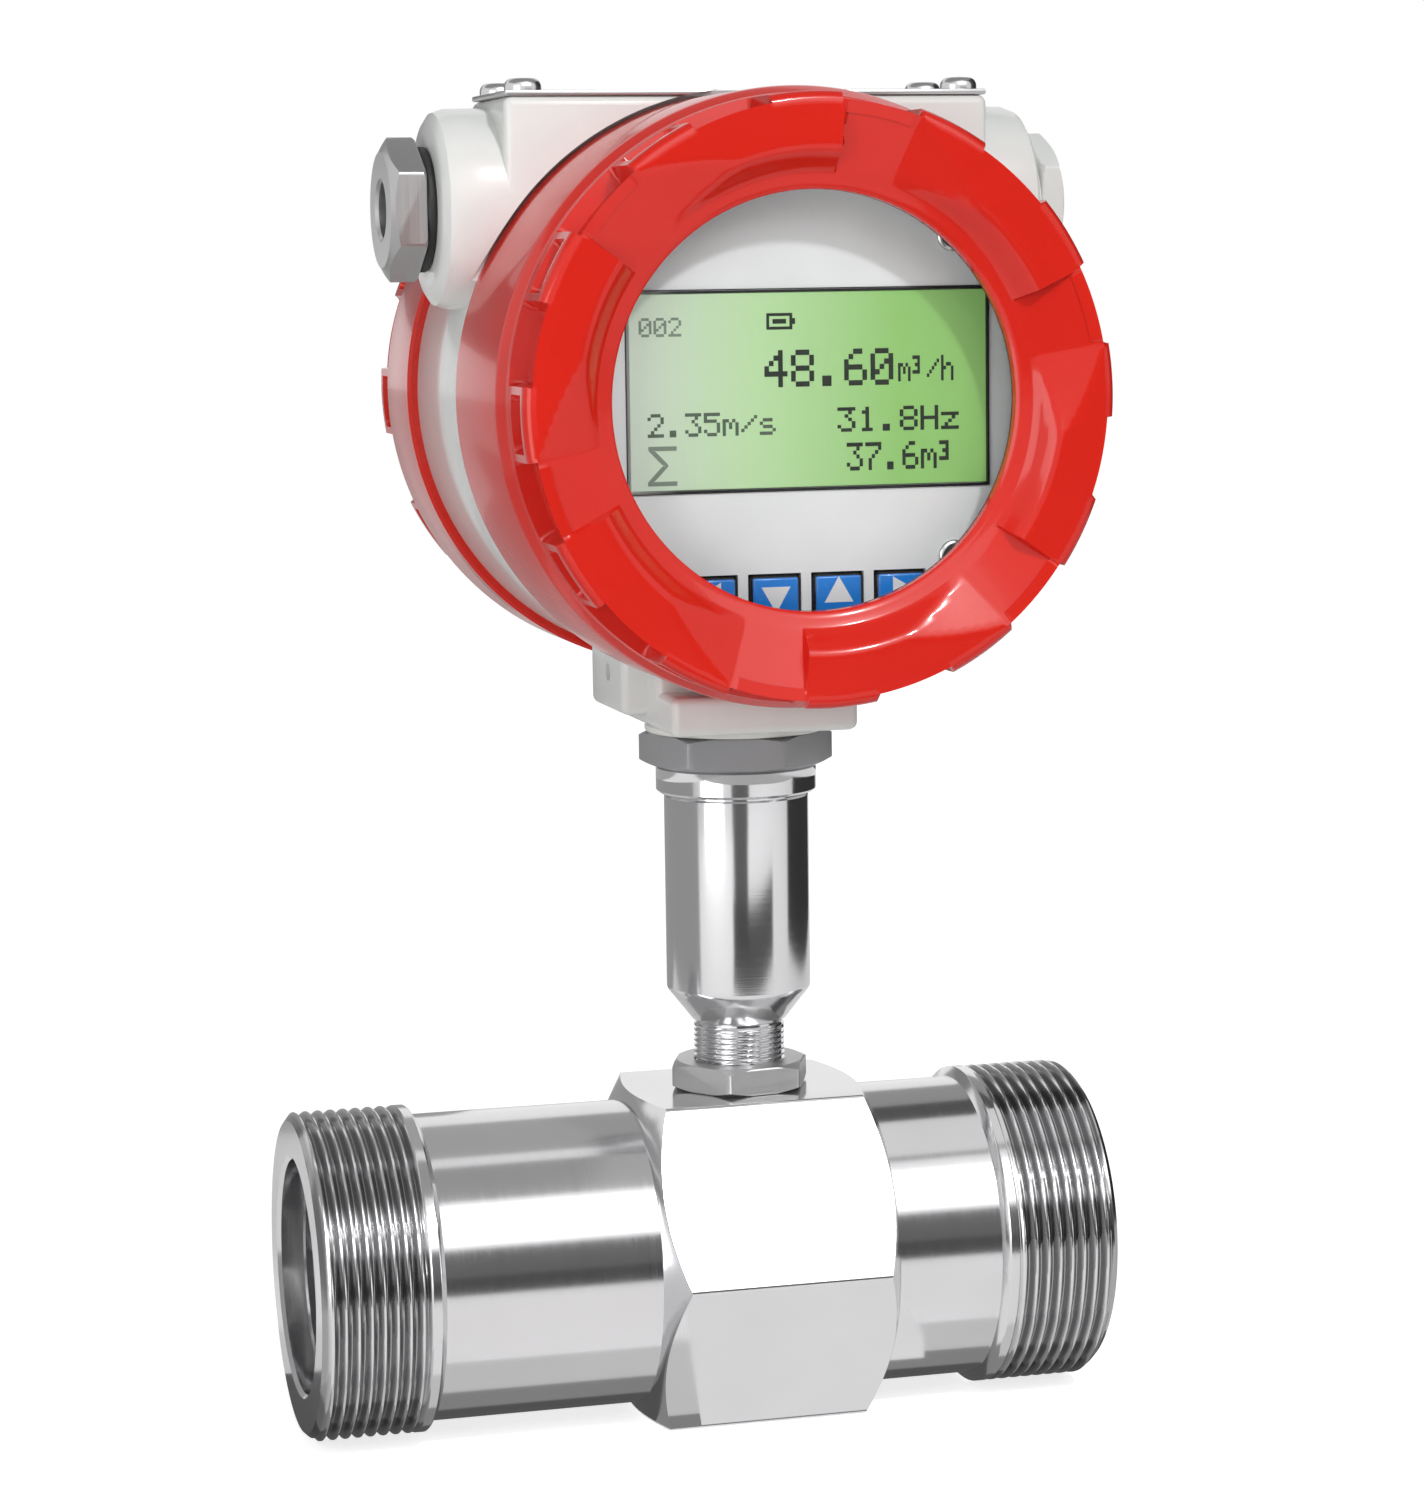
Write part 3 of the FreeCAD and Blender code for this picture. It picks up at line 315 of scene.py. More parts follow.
def add_node(material, kind, inputs, **settings):
    """A new shader node with its settings and inputs."""
    node = material.node_tree.nodes.new("ShaderNode" + kind)
    for name, value in settings.items():
        setattr(node, name, value)
    return feed(material, inputs, node)


def new_material(name, colour, metallic=0.0, roughness=0.4, coat=0.0, coat_roughness=0.05):
    """A plain surface shader."""
    material = bpy.data.materials.new(name)
    material.use_nodes = True
    feed(material, {"Base Color": (*colour, 1), "Metallic": metallic, "Roughness": roughness,
                    "Coat Weight": coat, "Coat Roughness": coat_roughness})
    return material


def bare_material(name):
    """A material without any node yet."""
    material = bpy.data.materials.new(name)
    material.use_nodes = True
    material.node_tree.nodes.clear()
    return material


def object_place(material):
    """Object coordinates."""
    return add_node(material, "TexCoord", {}).outputs["Object"]


def object_axes(material):
    """Object coordinates along X, Y and Z."""
    return add_node(material, "SeparateXYZ", {"Vector": object_place(material)}).outputs


def noise(material, scale, stretch=(1, 1, 1), detail=4.0):
    """A noise texture on object coordinates, stretched along each axis."""
    place = add_node(material, "Mapping", {"Vector": object_place(material), "Scale": stretch})
    return add_node(material, "TexNoise", {
        "Vector": place.outputs["Vector"], "Scale": scale, "Detail": detail,
        "Roughness": 0.55}).outputs["Fac"]


def span(material, source, low, high):
    """0 below one place and 1 above another, both in millimetres."""
    return add_node(material, "MapRange", {
        "Value": source, "From Min": low * MM, "From Max": high * MM}).outputs["Result"]


def calculate(material, operation, first, second=0.0):
    """One step of arithmetic."""
    return add_node(material, "Math", {0: first, 1: second}, operation=operation).outputs["Value"]


def vary_roughness(material, source, low, high):
    """Drive the roughness between two values by a texture."""
    ramp = add_node(material, "MapRange", {"Value": source, "To Min": low, "To Max": high})
    feed(material, {"Roughness": ramp.outputs["Result"]})


def tint(material, source, dark, light):
    """Vary the base colour between two tones by a texture."""
    mix = add_node(material, "Mix", {"A": dark if hasattr(dark, "is_linked") else (*dark, 1),
                                     "B": (*light, 1), "Factor": source}, data_type="RGBA")
    feed(material, {"Base Color": mix.outputs["Result"]})


def bump(material, source, strength, distance):
    """Small relief from a texture."""
    relief = add_node(material, "Bump", {"Height": source, "Strength": strength,
                                         "Distance": distance * MM})
    feed(material, {"Normal": relief.outputs["Normal"]})


def shade(colour, factor):
    """A lighter or darker tone of a colour."""
    return tuple(min(channel * factor, 1) for channel in colour)


def powder_coat(name, colour, roughness):
    """Glossy powder coat with a slight orange peel."""
    material = new_material(name, colour, roughness=roughness, coat=0.3, coat_roughness=0.06)
    feed(material, {"Specular IOR Level": 0.25})
    tint(material, noise(material, 60), shade(colour, 0.94), shade(colour, 1.05))
    bump(material, noise(material, 900, detail=2), 0.12, 0.05)
    return material


def turned_metal(name, colour, roughness, axis, grooves=0.1):
    """Metal with the fine rings that a lathe tool leaves around an axis."""
    material = new_material(name, colour, metallic=1.0, roughness=roughness)
    stretch = [3.0, 3.0, 3.0]
    stretch["XYZ".index(axis)] = 900.0
    rings = noise(material, 4, tuple(stretch), detail=3)
    vary_roughness(material, rings, roughness * 0.7, roughness * 1.45)
    tint(material, noise(material, 45), shade(colour, 0.93), shade(colour, 1.04))
    bump(material, rings, grooves, 0.03)
    return material


def threaded_metal(name, colour, roughness, sizes):
    """Turned steel with painted shade in the thread grooves, dark between bright crests."""
    material = turned_metal(name, colour, roughness, "X")
    place = object_axes(material)
    level = calculate(material, "SUBTRACT", place["Z"], PIPE_Z * MM)
    square = calculate(material, "ADD", calculate(material, "MULTIPLY", level, level),
                       calculate(material, "MULTIPLY", place["Y"], place["Y"]))
    radius = calculate(material, "POWER", square, 0.5)
    middle = (TUBE_LOW.x + TUBE_HIGH.x) / 2 * MM
    away = calculate(material, "ABSOLUTE", calculate(material, "SUBTRACT", place["X"], middle))
    inner = (TUBE_HIGH.x - TUBE_LOW.x) / 2 - THREAD_START - sizes.thread_turns * sizes.thread_pitch
    crest, root = sizes.thread_radius, sizes.thread_radius - sizes.thread_depth
    # Painted shade: below the crests the threaded ends are darkened to half the steel's tone,
    # standing in for the shade in the grooves.
    groove = calculate(material, "MULTIPLY", span(material, radius, root - 0.15, root - 0.05),
                       span(material, radius, crest - 0.1, crest - 0.75))
    groove = calculate(material, "MULTIPLY", span(material, away, inner - 0.8, inner), groove)
    plain = material.node_tree.nodes["Principled BSDF"].inputs["Base Color"].links[0].from_socket
    tint(material, groove, plain, shade(colour, 0.5))
    return material


def grained(name, colour, roughness, metallic=0.0, depth=0.03, coat=0.0):
    """A moulded or sawn surface with a fine even grain."""
    material = new_material(name, colour, metallic, roughness, coat)
    grain = noise(material, 700, detail=3)
    tint(material, noise(material, 50), shade(colour, 0.9), shade(colour, 1.1))
    vary_roughness(material, grain, roughness * 0.85, min(roughness * 1.2, 1))
    bump(material, grain, 0.2, depth)
    return material


def clear_glass(name):
    """Window glass that lets the lamps through."""
    material = bare_material(name)
    clear = add_node(material, "BsdfTransparent", {"Color": (0.996, 0.999, 0.998, 1)})
    gloss = add_node(material, "BsdfGlossy", {"Roughness": 0.02})
    edge = add_node(material, "Fresnel", {"IOR": 1.45})
    weak = calculate(material, "MULTIPLY", edge.outputs["Fac"], 0.35)
    mix = add_node(material, "MixShader", {"Fac": weak, 1: clear.outputs["BSDF"],
                                           2: gloss.outputs["BSDF"]})
    add_node(material, "OutputMaterial", {"Surface": mix.outputs["Shader"]})
    return material


def lit_screen(name, colour):
    """The screen: pale at its left end, green at its right, softly lit."""
    material = new_material(name, colour, roughness=0.35)
    low, high = box_of("screen_module")
    across = span(material, object_axes(material)["X"], low.x, high.x)
    ramp = add_node(material, "ValToRGB", {"Fac": across})
    stops = ramp.color_ramp.elements
    stops[0].position, stops[0].color = 0.02, (0.58, 0.66, 0.56, 1)
    stops[1].position, stops[1].color = 0.75, (*colour, 1)
    stops.new(0.35).color = (0.45, 0.66, 0.36, 1)
    feed(material, {"Base Color": ramp.outputs["Color"], "Emission Color": ramp.outputs["Color"],
                    "Emission Strength": 0.18})
    return material


def dark_edge(name):
    """The edge round the screen: grey at its left end and black from there on."""
    black = (0.008, 0.008, 0.009)
    material = new_material(name, black, roughness=0.3)
    start = box_of("screen_module")[0].x
    across = span(material, object_axes(material)["X"], start + 0.45, start + 9.0)
    tint(material, across, (0.3, 0.32, 0.3), black)
    return material


MATERIALS = {}

# Name, colour, roughness, then metallic share, depth of the grain and coat
GRAINED = {
    "dull": ("dull_grey_steel", (0.34, 0.34, 0.35), 0.42, 0.7, 0.02),
    "screw": ("zinc_screw", (0.62, 0.62, 0.63), 0.22, 1.0, 0.01),
    "rotor": ("rotor_steel", (0.5, 0.5, 0.52), 0.28, 1.0, 0.01),
    "vane": ("matt_vane", (0.55, 0.55, 0.55), 0.45, 0.35, 0.02),
    "carbide": ("ground_hard_metal", (0.3, 0.3, 0.32), 0.2, 1.0, 0.01),
    "rubber": ("black_rubber", (0.02, 0.02, 0.021), 0.6, 0.0, 0.04),
    "plastic": ("black_plastic", (0.03, 0.03, 0.032), 0.4),
    "nylon": ("white_nylon", (0.74, 0.73, 0.7), 0.45),
    "natural": ("natural_nylon", (0.7, 0.66, 0.55), 0.5),
    "copper": ("enamelled_copper", (0.6, 0.26, 0.1), 0.3, 1.0),
    "brass": ("turned_brass", (0.66, 0.48, 0.2), 0.28, 1.0, 0.01),
    "board": ("circuit_board", (0.03, 0.16, 0.06), 0.35),
    "terminal": ("green_terminal", (0.05, 0.3, 0.12), 0.4),
    "wrap": ("cell_wrap", (0.1, 0.25, 0.5), 0.3, 0.0, 0.03, 0.4),
    "faceplate": ("white_faceplate", (0.86, 0.87, 0.88), 0.4, 0.0, 0.005),
    "frame": ("screen_frame", (0.008, 0.008, 0.009), 0.25, 0.0, 0.01),
    "ink": ("screen_ink", (0.012, 0.02, 0.012), 0.5, 0.0, 0.002),
    "dim": ("screen_dim_ink", (0.09, 0.13, 0.09), 0.5, 0.0, 0.002),
    "faint": ("screen_faint_ink", (0.22, 0.28, 0.22), 0.5, 0.0, 0.002),
    "arrow": ("white_print", (0.85, 0.86, 0.88), 0.35, 0.0, 0.002),
}


def make_materials(finishes, sizes):
    """All finishes of the meter, by name."""
    steel = tuple(finishes.steel)
    MATERIALS.update({key: grained(*row) for key, row in GRAINED.items()})
    MATERIALS.update({
        "red": powder_coat("red_powder_coat", tuple(finishes.red), 0.2),
        "white": powder_coat("white_powder_coat", tuple(finishes.white), 0.25),
        "tube": threaded_metal("turned_steel_along_pipe", steel, 0.14, sizes),
        "neck": turned_metal("turned_steel_along_neck", steel, 0.12, "Z"),
        "matt": turned_metal("turned_matt_steel", (0.56, 0.56, 0.56), 0.36, "Z", 0.05),
        "plate": turned_metal("brushed_plate", (0.55, 0.55, 0.55), 0.3, "Y", 0.2),
        "entry": turned_metal("brushed_entry", (0.5, 0.5, 0.5), 0.34, "X", 0.2),
        "edge": dark_edge("screen_edge"),
        "key": grained("blue_key", tuple(finishes.key), 0.25, coat=0.5, depth=0.005),
        "glass": clear_glass("window_glass"),
        "screen": lit_screen("green_screen", tuple(finishes.screen)),
    })


# The solids that stay, by finish
SOLID_FINISHES = {
    "vane": "inlet_straightener outlet_straightener",
    "carbide": "inlet_bush outlet_bush inlet_snap_ring outlet_snap_ring rotor_shaft",
    "rotor": "rotor pickup_pole_pin",
    "screw": "pickup_magnet terminal_screws",
    "natural": "pickup_spool",
    "copper": "pickup_coil",
    "rubber": "pickup_lead gland_seal window_gasket front_o_ring rear_o_ring",
    "plastic": "pickup_socket key_switches battery_holder",
    "dull": "glass_retainer",
    "board": "display_board terminal_board",
    "brass": "display_spacers display_posts terminal_posts",
    "wrap": "battery",
    "terminal": "terminal_block",
}


# Operators

class FLOW_OT_camera(Operator):
    """Place the camera where the reference view was taken"""
    bl_idname = "flow_meter.camera"
    bl_label = "Camera"

    def execute(self, context):
        sizes = context.scene.flow_camera
        ahead = Vector((math.sin(sizes.heading) * math.cos(sizes.pitch),
                        math.cos(sizes.heading) * math.cos(sizes.pitch),
                        -math.sin(sizes.pitch)))
        right = Vector((math.cos(sizes.heading), -math.sin(sizes.heading), 0))
        up = right.cross(ahead)
        cosine, sine = math.cos(sizes.roll), math.sin(sizes.roll)
        right, up = cosine * right + sine * up, cosine * up - sine * right
        data = bpy.data.cameras.new("camera")
        data.lens = sizes.lens
        data.sensor_width = 36
        data.clip_start = 0.01
        data.clip_end = 20
        camera = bpy.data.objects.new("camera", data)
        context.scene.collection.objects.link(camera)
        turn = Matrix((right, up, -ahead)).transposed().to_4x4()
        camera.matrix_world = Matrix.Translation(Vector(sizes.place)) @ turn
        context.scene.camera = camera
        return {"FINISHED"}


class FLOW_OT_materials(Operator):
    """Make the finishes and put them on the solids that stay"""
    bl_idname = "flow_meter.materials"
    bl_label = "Finishes"

    def execute(self, context):
        make_materials(context.scene.flow_finishes, context.scene.flow_tube)
        for finish, nodes in SOLID_FINISHES.items():
            for node in nodes.split():
                paint(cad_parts[node], finish)
        return {"FINISHED"}


class FLOW_OT_tube(Operator):
    """The threaded flow tube with its hexagon"""
    bl_idname = "flow_meter.tube"
    bl_label = "Flow tube"

    def execute(self, context):
        sizes = context.scene.flow_tube
        ends = []
        for sign, face in ((-1, TUBE_LOW.x), (1, TUBE_HIGH.x)):
            length = abs(face)
            thread_end = length - THREAD_START - sizes.thread_turns * sizes.thread_pitch
            crest = sizes.thread_radius
            side = [(length, crest - 1.5), (length - 0.9, crest - 0.35)]
            side += rows(length - THREAD_START, thread_end, crest, sizes.thread_pitch / 12)
            side += [(thread_end - 1.5, crest), (thread_end - 1.8, crest - 0.25),
                     (thread_end - 2.7, sizes.barrel_radius + 0.1),
                     (thread_end - 3.4, sizes.barrel_radius)]
            inside = [(length, sizes.seat_radius + 0.7), (length - 0.7, sizes.seat_radius)]
            ends.append((sign, side, inside))
        left, right = ends
        points = [(-along, radius) for along, radius in left[1]] + right[1][::-1] + right[2]
        points += [(TUBE_HIGH.x - 22, sizes.seat_radius), (TUBE_HIGH.x - 22, sizes.bore_radius),
                   (TUBE_LOW.x + 34, sizes.bore_radius), (TUBE_LOW.x + 34, sizes.seat_radius)]
        points += [(-along, radius) for along, radius in left[2][::-1]]
        tube = lathe("flow_tube", points, "X", PIPE_CENTRE, 224)
        for sign, side, inside in ends:
            face = side[0][0]
            thread_end = face - THREAD_START - sizes.thread_turns * sizes.thread_pitch
            start, end = sorted((sign * (face - 0.6), sign * thread_end))
            cut_thread(tube, "X", PIPE_CENTRE, start, end, sizes.thread_radius,
                       sizes.thread_pitch, sizes.thread_depth)
        flats = TUBE_HIGH.z - TUBE_LOW.z
        half, barrel = 22.3, sizes.barrel_radius
        collar = hexagon("hex_collar", flats, -half, half, "X", PIPE_CENTRE)
        bevel(collar, 0.5, 3, 20)
        corner = flats / math.sqrt(3)
        blank = lathe("hex_blank", [
            (-half, 22.0), (half, 22.0), (half, barrel), (half - 0.3, barrel + 1.0),
            (half - 3.7, corner), (3.7 - half, corner), (0.3 - half, barrel + 1.0),
            (-half, barrel)], "X", PIPE_CENTRE, 224)
        combine(collar, blank, "INTERSECT")
        combine(tube, collar, "UNION")
        settle(tube, "flow_tube", "tube", "stainless_steel", "meter_body", angle=28)
        return {"FINISHED"}


class FLOW_OT_neck(Operator):
    """The pickup sleeve, its nuts, the adapter and the washer"""
    bl_idname = "flow_meter.neck"
    bl_label = "Neck"

    def execute(self, context):
        low, high = box_of("pickup_sleeve")
        nut_low, nut_high = box_of("lock_nut")
        stem = 8.45
        barrel = high.x
        foot = nut_high.z + 7.2
        cone = foot + 6.3
        points = [(low.z, 0.0), (low.z, stem)]
        points += rows(nut_high.z - 1.0, foot - 0.6, stem, 1 / 12)
        points += [(foot - 0.3, stem - 0.5), (foot, stem - 0.5), (foot + 0.5, stem + 0.3),
                   (cone - 0.5, barrel - 0.45), (cone, barrel - 0.1), (cone + 0.5, barrel),
                   (high.z - 0.3, barrel), (high.z, barrel - 0.3), (high.z, 9.45),
                   (high.z - 13, 9.45), (high.z - 13, 6.0), (low.z + 1.2, 6.0), (low.z + 1.2, 0.0)]
        sleeve = lathe("pickup_sleeve_piece", points, "Z", NECK_CENTRE, 160, closed=False)
        cut_thread(sleeve, "Z", NECK_CENTRE, nut_high.z - 1.0, foot - 0.6, stem, 1.0, 0.62)
        settle(sleeve, "flow_tube", "neck", "stainless_steel", "pickup_sleeve")

        low, high = box_of("neck_adapter")
        collar = high.x
        base = box_of("pickup_sleeve")[1].z + 0.5
        top = box_of("head_nut")[0].z
        adapter = lathe("neck_adapter_piece", [
            (low.z, 3.0), (low.z, 9.4), (base - 0.5, 9.4), (base - 0.5, 12.9), (base, 12.9),
            (base, collar - 0.5), (base + 0.5, collar), (top - 0.5, collar), (top, collar - 0.5),
            (top, 11.0), (high.z, 11.0), (high.z, 4.0), (high.z - 4, 4.0), (high.z - 4, 3.0)],
            "Z", NECK_CENTRE, 160)
        settle(adapter, "flow_tube", "neck", "stainless_steel", "neck_adapter")

        for node, name, flats, turn, bore, finish, slot in (
                ("lock_nut", "lock_nut_piece", 23.6, -22.0, stem, "matt", "stainless_steel"),
                ("head_nut", "head_nut_piece", 31.0, 15.5, 11.0, "dull", "dull_steel")):
            low, high = box_of(node)
            nut = hexagon(name, flats, low.z, high.z, "Z", NECK_CENTRE, math.radians(turn))
            bevel(nut, 0.35, 2, 20)
            corner = flats / math.sqrt(3)
            trim = lathe(name + "_trim", [
                (low.z, bore), (low.z, flats / 2 - 0.1), (low.z + 0.9, corner),
                (high.z - 0.9, corner), (high.z, flats / 2 - 0.1), (high.z, bore)],
                "Z", NECK_CENTRE, 128)
            combine(nut, trim, "INTERSECT")
            settle(nut, "flow_tube", finish, slot, node, angle=24)

        low, high = box_of("neck_washer")
        washer = lathe("neck_washer_piece", [
            (low.z, 11.0), (low.z, high.x - 0.3), (low.z + 0.3, high.x), (high.z - 0.3, high.x),
            (high.z, high.x - 0.3), (high.z, 11.0)], "Z", NECK_CENTRE, 128)
        settle(washer, "flow_tube", "nylon", "white_plastic", "neck_washer")
        return {"FINISHED"}


class FLOW_OT_housing(Operator):
    """The cast head housing with its bosses, pad, neck block and earth lug"""
    bl_idname = "flow_meter.housing"
    bl_label = "Head housing"

    def execute(self, context):
        low, high = box_of("head_housing")
        bore = 45.0
        front = box_of("front_cover")[1].y
        rear = box_of("rear_cover")[0].y
        shell = lathe("head_housing_piece", [
            (low.y, bore), (low.y, SPIGOT), (front, SPIGOT), (front, DRUM - 0.4),
            (front * 0.97 + 0.03 * rear, DRUM), (rear - 0.9, DRUM), (rear, DRUM - 0.5),
            (rear, SPIGOT), (high.y, SPIGOT), (high.y, bore)], "Y", HEAD_CENTRE, 224)
        plate_low, plate_high = box_of("top_plate")
        pad = block("pad", (plate_low.x - 0.2, plate_low.y - 0.2, HEAD_Z + 22),
                    (plate_high.x + 0.2, plate_high.y + 0.2, plate_low.z))
        bevel(pad, 1.6, 4)
        pieces = [pad]
        x, y, z = ENTRY_CENTRE
        for sign in (-1, 1):
            reach = -low.x
            rim = [(sign * 30, 0.0), (sign * 30, 17.2), (sign * (reach - 8), 17.8),
                   (sign * (reach - 3.2), 17.7), (sign * (reach - 1.2), 17.0),
                   (sign * (reach - 0.3), 15.6), (sign * reach, 13.6), (sign * reach, 0.0)]
            pieces.append(lathe("boss", rim, "X", ENTRY_CENTRE, 128, closed=False))
            web = block("web", (min(sign * 40, sign * 50), y - 13.5, z - 3),
                        (max(sign * 40, sign * 50), y + 13.5, plate_low.z - 1.5))
            bevel(web, 1.5, 3)
            narrow_web(web, sign, y)
            pieces.append(web)
        foot_top = low.z + 7
        foot = block("foot", (-17.3, -21.4, low.z), (17.3, 21.4, foot_top))
        stalk = block("stalk", (-17.3, front + 0.4, low.z), (17.3, 21.4, HEAD_Z - bore - 1))
        lug = block("lug", (-22.0, -3.0, low.z + 2.2), (-14.0, 21.6, low.z + 16.2))
        for piece in (foot, stalk, lug):
            bevel(piece, 1.5, 4)
        pieces += [foot, stalk, lug]
        for piece in pieces:
            combine(shell, piece, "UNION")
        relief = lathe("relief", [(plate_low.y - 2, SPIGOT), (front, SPIGOT), (front, 51.0),
                                  (front, RELIEF), (plate_low.y - 2, RELIEF)], "Y", HEAD_CENTRE, 224)
        combine(shell, relief, "DIFFERENCE")
        chamber = lathe("chamber", [(low.y - 1, 0.0), (low.y - 1, bore), (high.y + 1, bore),
                                    (high.y + 1, 0.0)], "Y", HEAD_CENTRE, 224, closed=False)
        combine(shell, chamber, "DIFFERENCE")
        for sign in (-1, 1):
            hole = lathe("entry", [(sign * 24, 0.0), (sign * 24, 10.0), (sign * 70, 10.0),
                                   (sign * 70, 0.0)], "X", ENTRY_CENTRE, 96, closed=False)
            combine(shell, hole, "DIFFERENCE")
        neck_hole = lathe("neck_hole", [(low.z - 1, 0.0), (low.z - 1, 11.05),
                                        (HEAD_Z - 40, 11.05), (HEAD_Z - 40, 0.0)],
                          "Z", NECK_CENTRE, 96, closed=False)
        combine(shell, neck_hole, "DIFFERENCE")
        earth = lathe("earth", [(-30, 0.0), (-30, 1.6), (-14.3, 1.6), (-14.3, 0.0)],
                      "X", (0, 8.0, low.z + 9.2), 48, closed=False)
        combine(shell, earth, "DIFFERENCE")
        wall = lathe("divider", [(20.0, 0.0), (20.0, bore + 0.3), (23.0, bore + 0.3), (23.0, 0.0)],
                     "Y", HEAD_CENTRE, 96, closed=False)
        combine(shell, wall, "UNION")
        settle(shell, "head", "white", "white_enamel", "head_housing", angle=35)
        return {"FINISHED"}


def narrow_web(piece, sign, middle):
    """Draw the outer end of a web in towards the boss, so that it reads as a wedge."""
    for vertex in piece.data.vertices:
        place = vertex.co / MM
        out = min(max((abs(place.x) - 42) / 8, 0), 1)
        drop = 10 * out
        place.y = middle + (place.y - middle) * (1 - 0.45 * out)
        if place.z > HEAD_Z + 40:
            place.z -= drop
        vertex.co = place * MM


class FLOW_OT_plate(Operator):
    """The bare plate on the top pad and its screws"""
    bl_idname = "flow_meter.plate"
    bl_label = "Top plate"

    def execute(self, context):
        low, high = box_of("top_plate")
        plate = bevel(block("top_plate_piece", low, high), 0.3, 2)
        front = box_of("front_cover")[1].y
        relief = lathe("plate_relief", [
            (low.y - 2, 40.0), (front, 40.0), (front, 47.0), (front, RELIEF),
            (low.y - 2, RELIEF)], "Y", HEAD_CENTRE, 160)
        combine(plate, relief, "DIFFERENCE")
        settle(plate, "head", "plate", "plate_steel", "top_plate")
        low, high = box_of("top_plate_screws")
        head = 3.3
        screws = []
        for x in (low.x + head, high.x - head):
            for y in (low.y + head, high.y - head):
                screws.append(pan_screw("plate_screw", (x, y), high.z - 2.2, high.z, head, "Z"))
        settle(join(screws, "top_plate_screw_set"), "head", "screw", "dull_steel",
               "top_plate_screws")
        return {"FINISHED"}


def pan_screw(name, across, base, crown, head, axis):
    """A domed screw head with a cross recess, and a short shank below it."""
    if axis == "Z":
        centre = (across[0], across[1], 0)
        direction = 1
    else:
        centre = (across[0], 0, across[1])
        direction = 1 if crown > base else -1
    rise = abs(crown - base)
    dome = [(base - direction * 5.5, 0.0), (base - direction * 5.5, 1.3), (base, 1.3), (base, head)]
    for i in range(7):
        angle = math.radians(90 * i / 6)
        dome.append((base + direction * rise * (0.3 + 0.7 * math.sin(angle)),
                     head * (0.55 + 0.45 * math.cos(angle)) if i < 6 else 0.0))
    screw = lathe(name, dome, axis, centre, 40, closed=False)
    top = crown - direction * 0.7
    for long, short in ((1.5, 0.3), (0.3, 1.5)):
        if axis == "Z":
            slot = block("recess", (centre[0] - long, centre[1] - short, top),
                         (centre[0] + long, centre[1] + short, crown + 1))
        else:
            slot = block("recess", (centre[0] - long, min(top, crown + direction), centre[2] - short),
                         (centre[0] + long, max(top, crown + direction), centre[2] + short))
        combine(screw, slot, "DIFFERENCE")
    return screw


class FLOW_OT_entries(Operator):
    """The cable gland, the blind plug and their gaskets"""
    bl_idname = "flow_meter.entries"
    bl_label = "Cable entries"

    def execute(self, context):
        for node, sign, finish, slot in (("gland_gasket", -1, "rubber", "black_rubber"),
                                         ("plug_gasket", 1, "nylon", "white_plastic")):
            low, high = box_of(node)
            start, end = sorted((abs(low.x), abs(high.x)))
            rim = (high.z - low.z) / 2
            ring = [(sign * start, SHANK), (sign * start, rim - 0.4), (sign * (start + 0.5), rim),
                    (sign * (end - 0.5), rim), (sign * end, rim - 0.4), (sign * end, SHANK)]
            gasket = lathe(node + "_piece", ring, "X", ENTRY_CENTRE, 96)
            settle(gasket, "head", finish, slot, node)
        low, high = box_of("cable_gland")
        corner = (high.z - low.z) / 2
        seat = box_of("gland_gasket")[0].x
        nut = self.cap("cable_gland_piece", corner, low.x, seat, [
            (low.x, 0.0), (low.x, 10.2), (low.x + 0.5, 10.9), (low.x + 1.5, corner),
            (seat - 0.7, corner), (seat, corner - 0.8), (seat, 0.0)], (seat - 1, high.x))
        hollow = lathe("gland_hollow", [
            (low.x - 1, 0.0), (low.x - 1, 6.2), (low.x, 5.6), (low.x + 0.6, 5.0),
            (low.x + 3.4, 5.0), (low.x + 3.4, 8.0), (high.x + 1, 8.0), (high.x + 1, 0.0)],
            "X", ENTRY_CENTRE, 96, closed=False)
        combine(nut, hollow, "DIFFERENCE")
        settle(nut, "head", "entry", "turned_steel", "cable_gland", angle=24)

        low, high = box_of("blind_plug")
        corner = (high.z - low.z) / 2
        seat = box_of("plug_gasket")[1].x
        cap = self.cap("blind_plug_piece", corner, seat, high.x, [
            (seat, 0.0), (seat, corner - 0.8), (seat + 0.7, corner), (high.x - 1.3, corner),
            (high.x - 0.3, 10.6), (high.x, 10.0), (high.x, 0.0)], (low.x, seat + 1))
        settle(cap, "head", "white", "white_enamel", "blind_plug", angle=24)
        return {"FINISHED"}

    def cap(self, name, corner, start, end, trim, shank):
        """A hexagon head trimmed round, on a plain shank between two places."""
        head = hexagon(name, corner * math.sqrt(3), start, end, "X", ENTRY_CENTRE, math.radians(30))
        bevel(head, 0.4, 2, 20)
        combine(head, lathe("trim", trim, "X", ENTRY_CENTRE, 128, closed=False), "INTERSECT")
        near, far = shank
        stub = lathe("shank", [(near, 0.0), (near, SHANK), (far, SHANK), (far, 0.0)],
                     "X", ENTRY_CENTRE, 96, closed=False)
        return combine(head, stub, "UNION")


# Cover relief

PAD_INNER, PAD_OUTER = 38.5, 50.4
PAD_DEPTH = 4.0
LUG_RADIUS = 51.8
COVER_STEPS = 720


def ease(value, low, high):
    """0 below low, 1 above high and straight between."""
    return min(max((value - low) / (high - low), 0.0), 1.0)


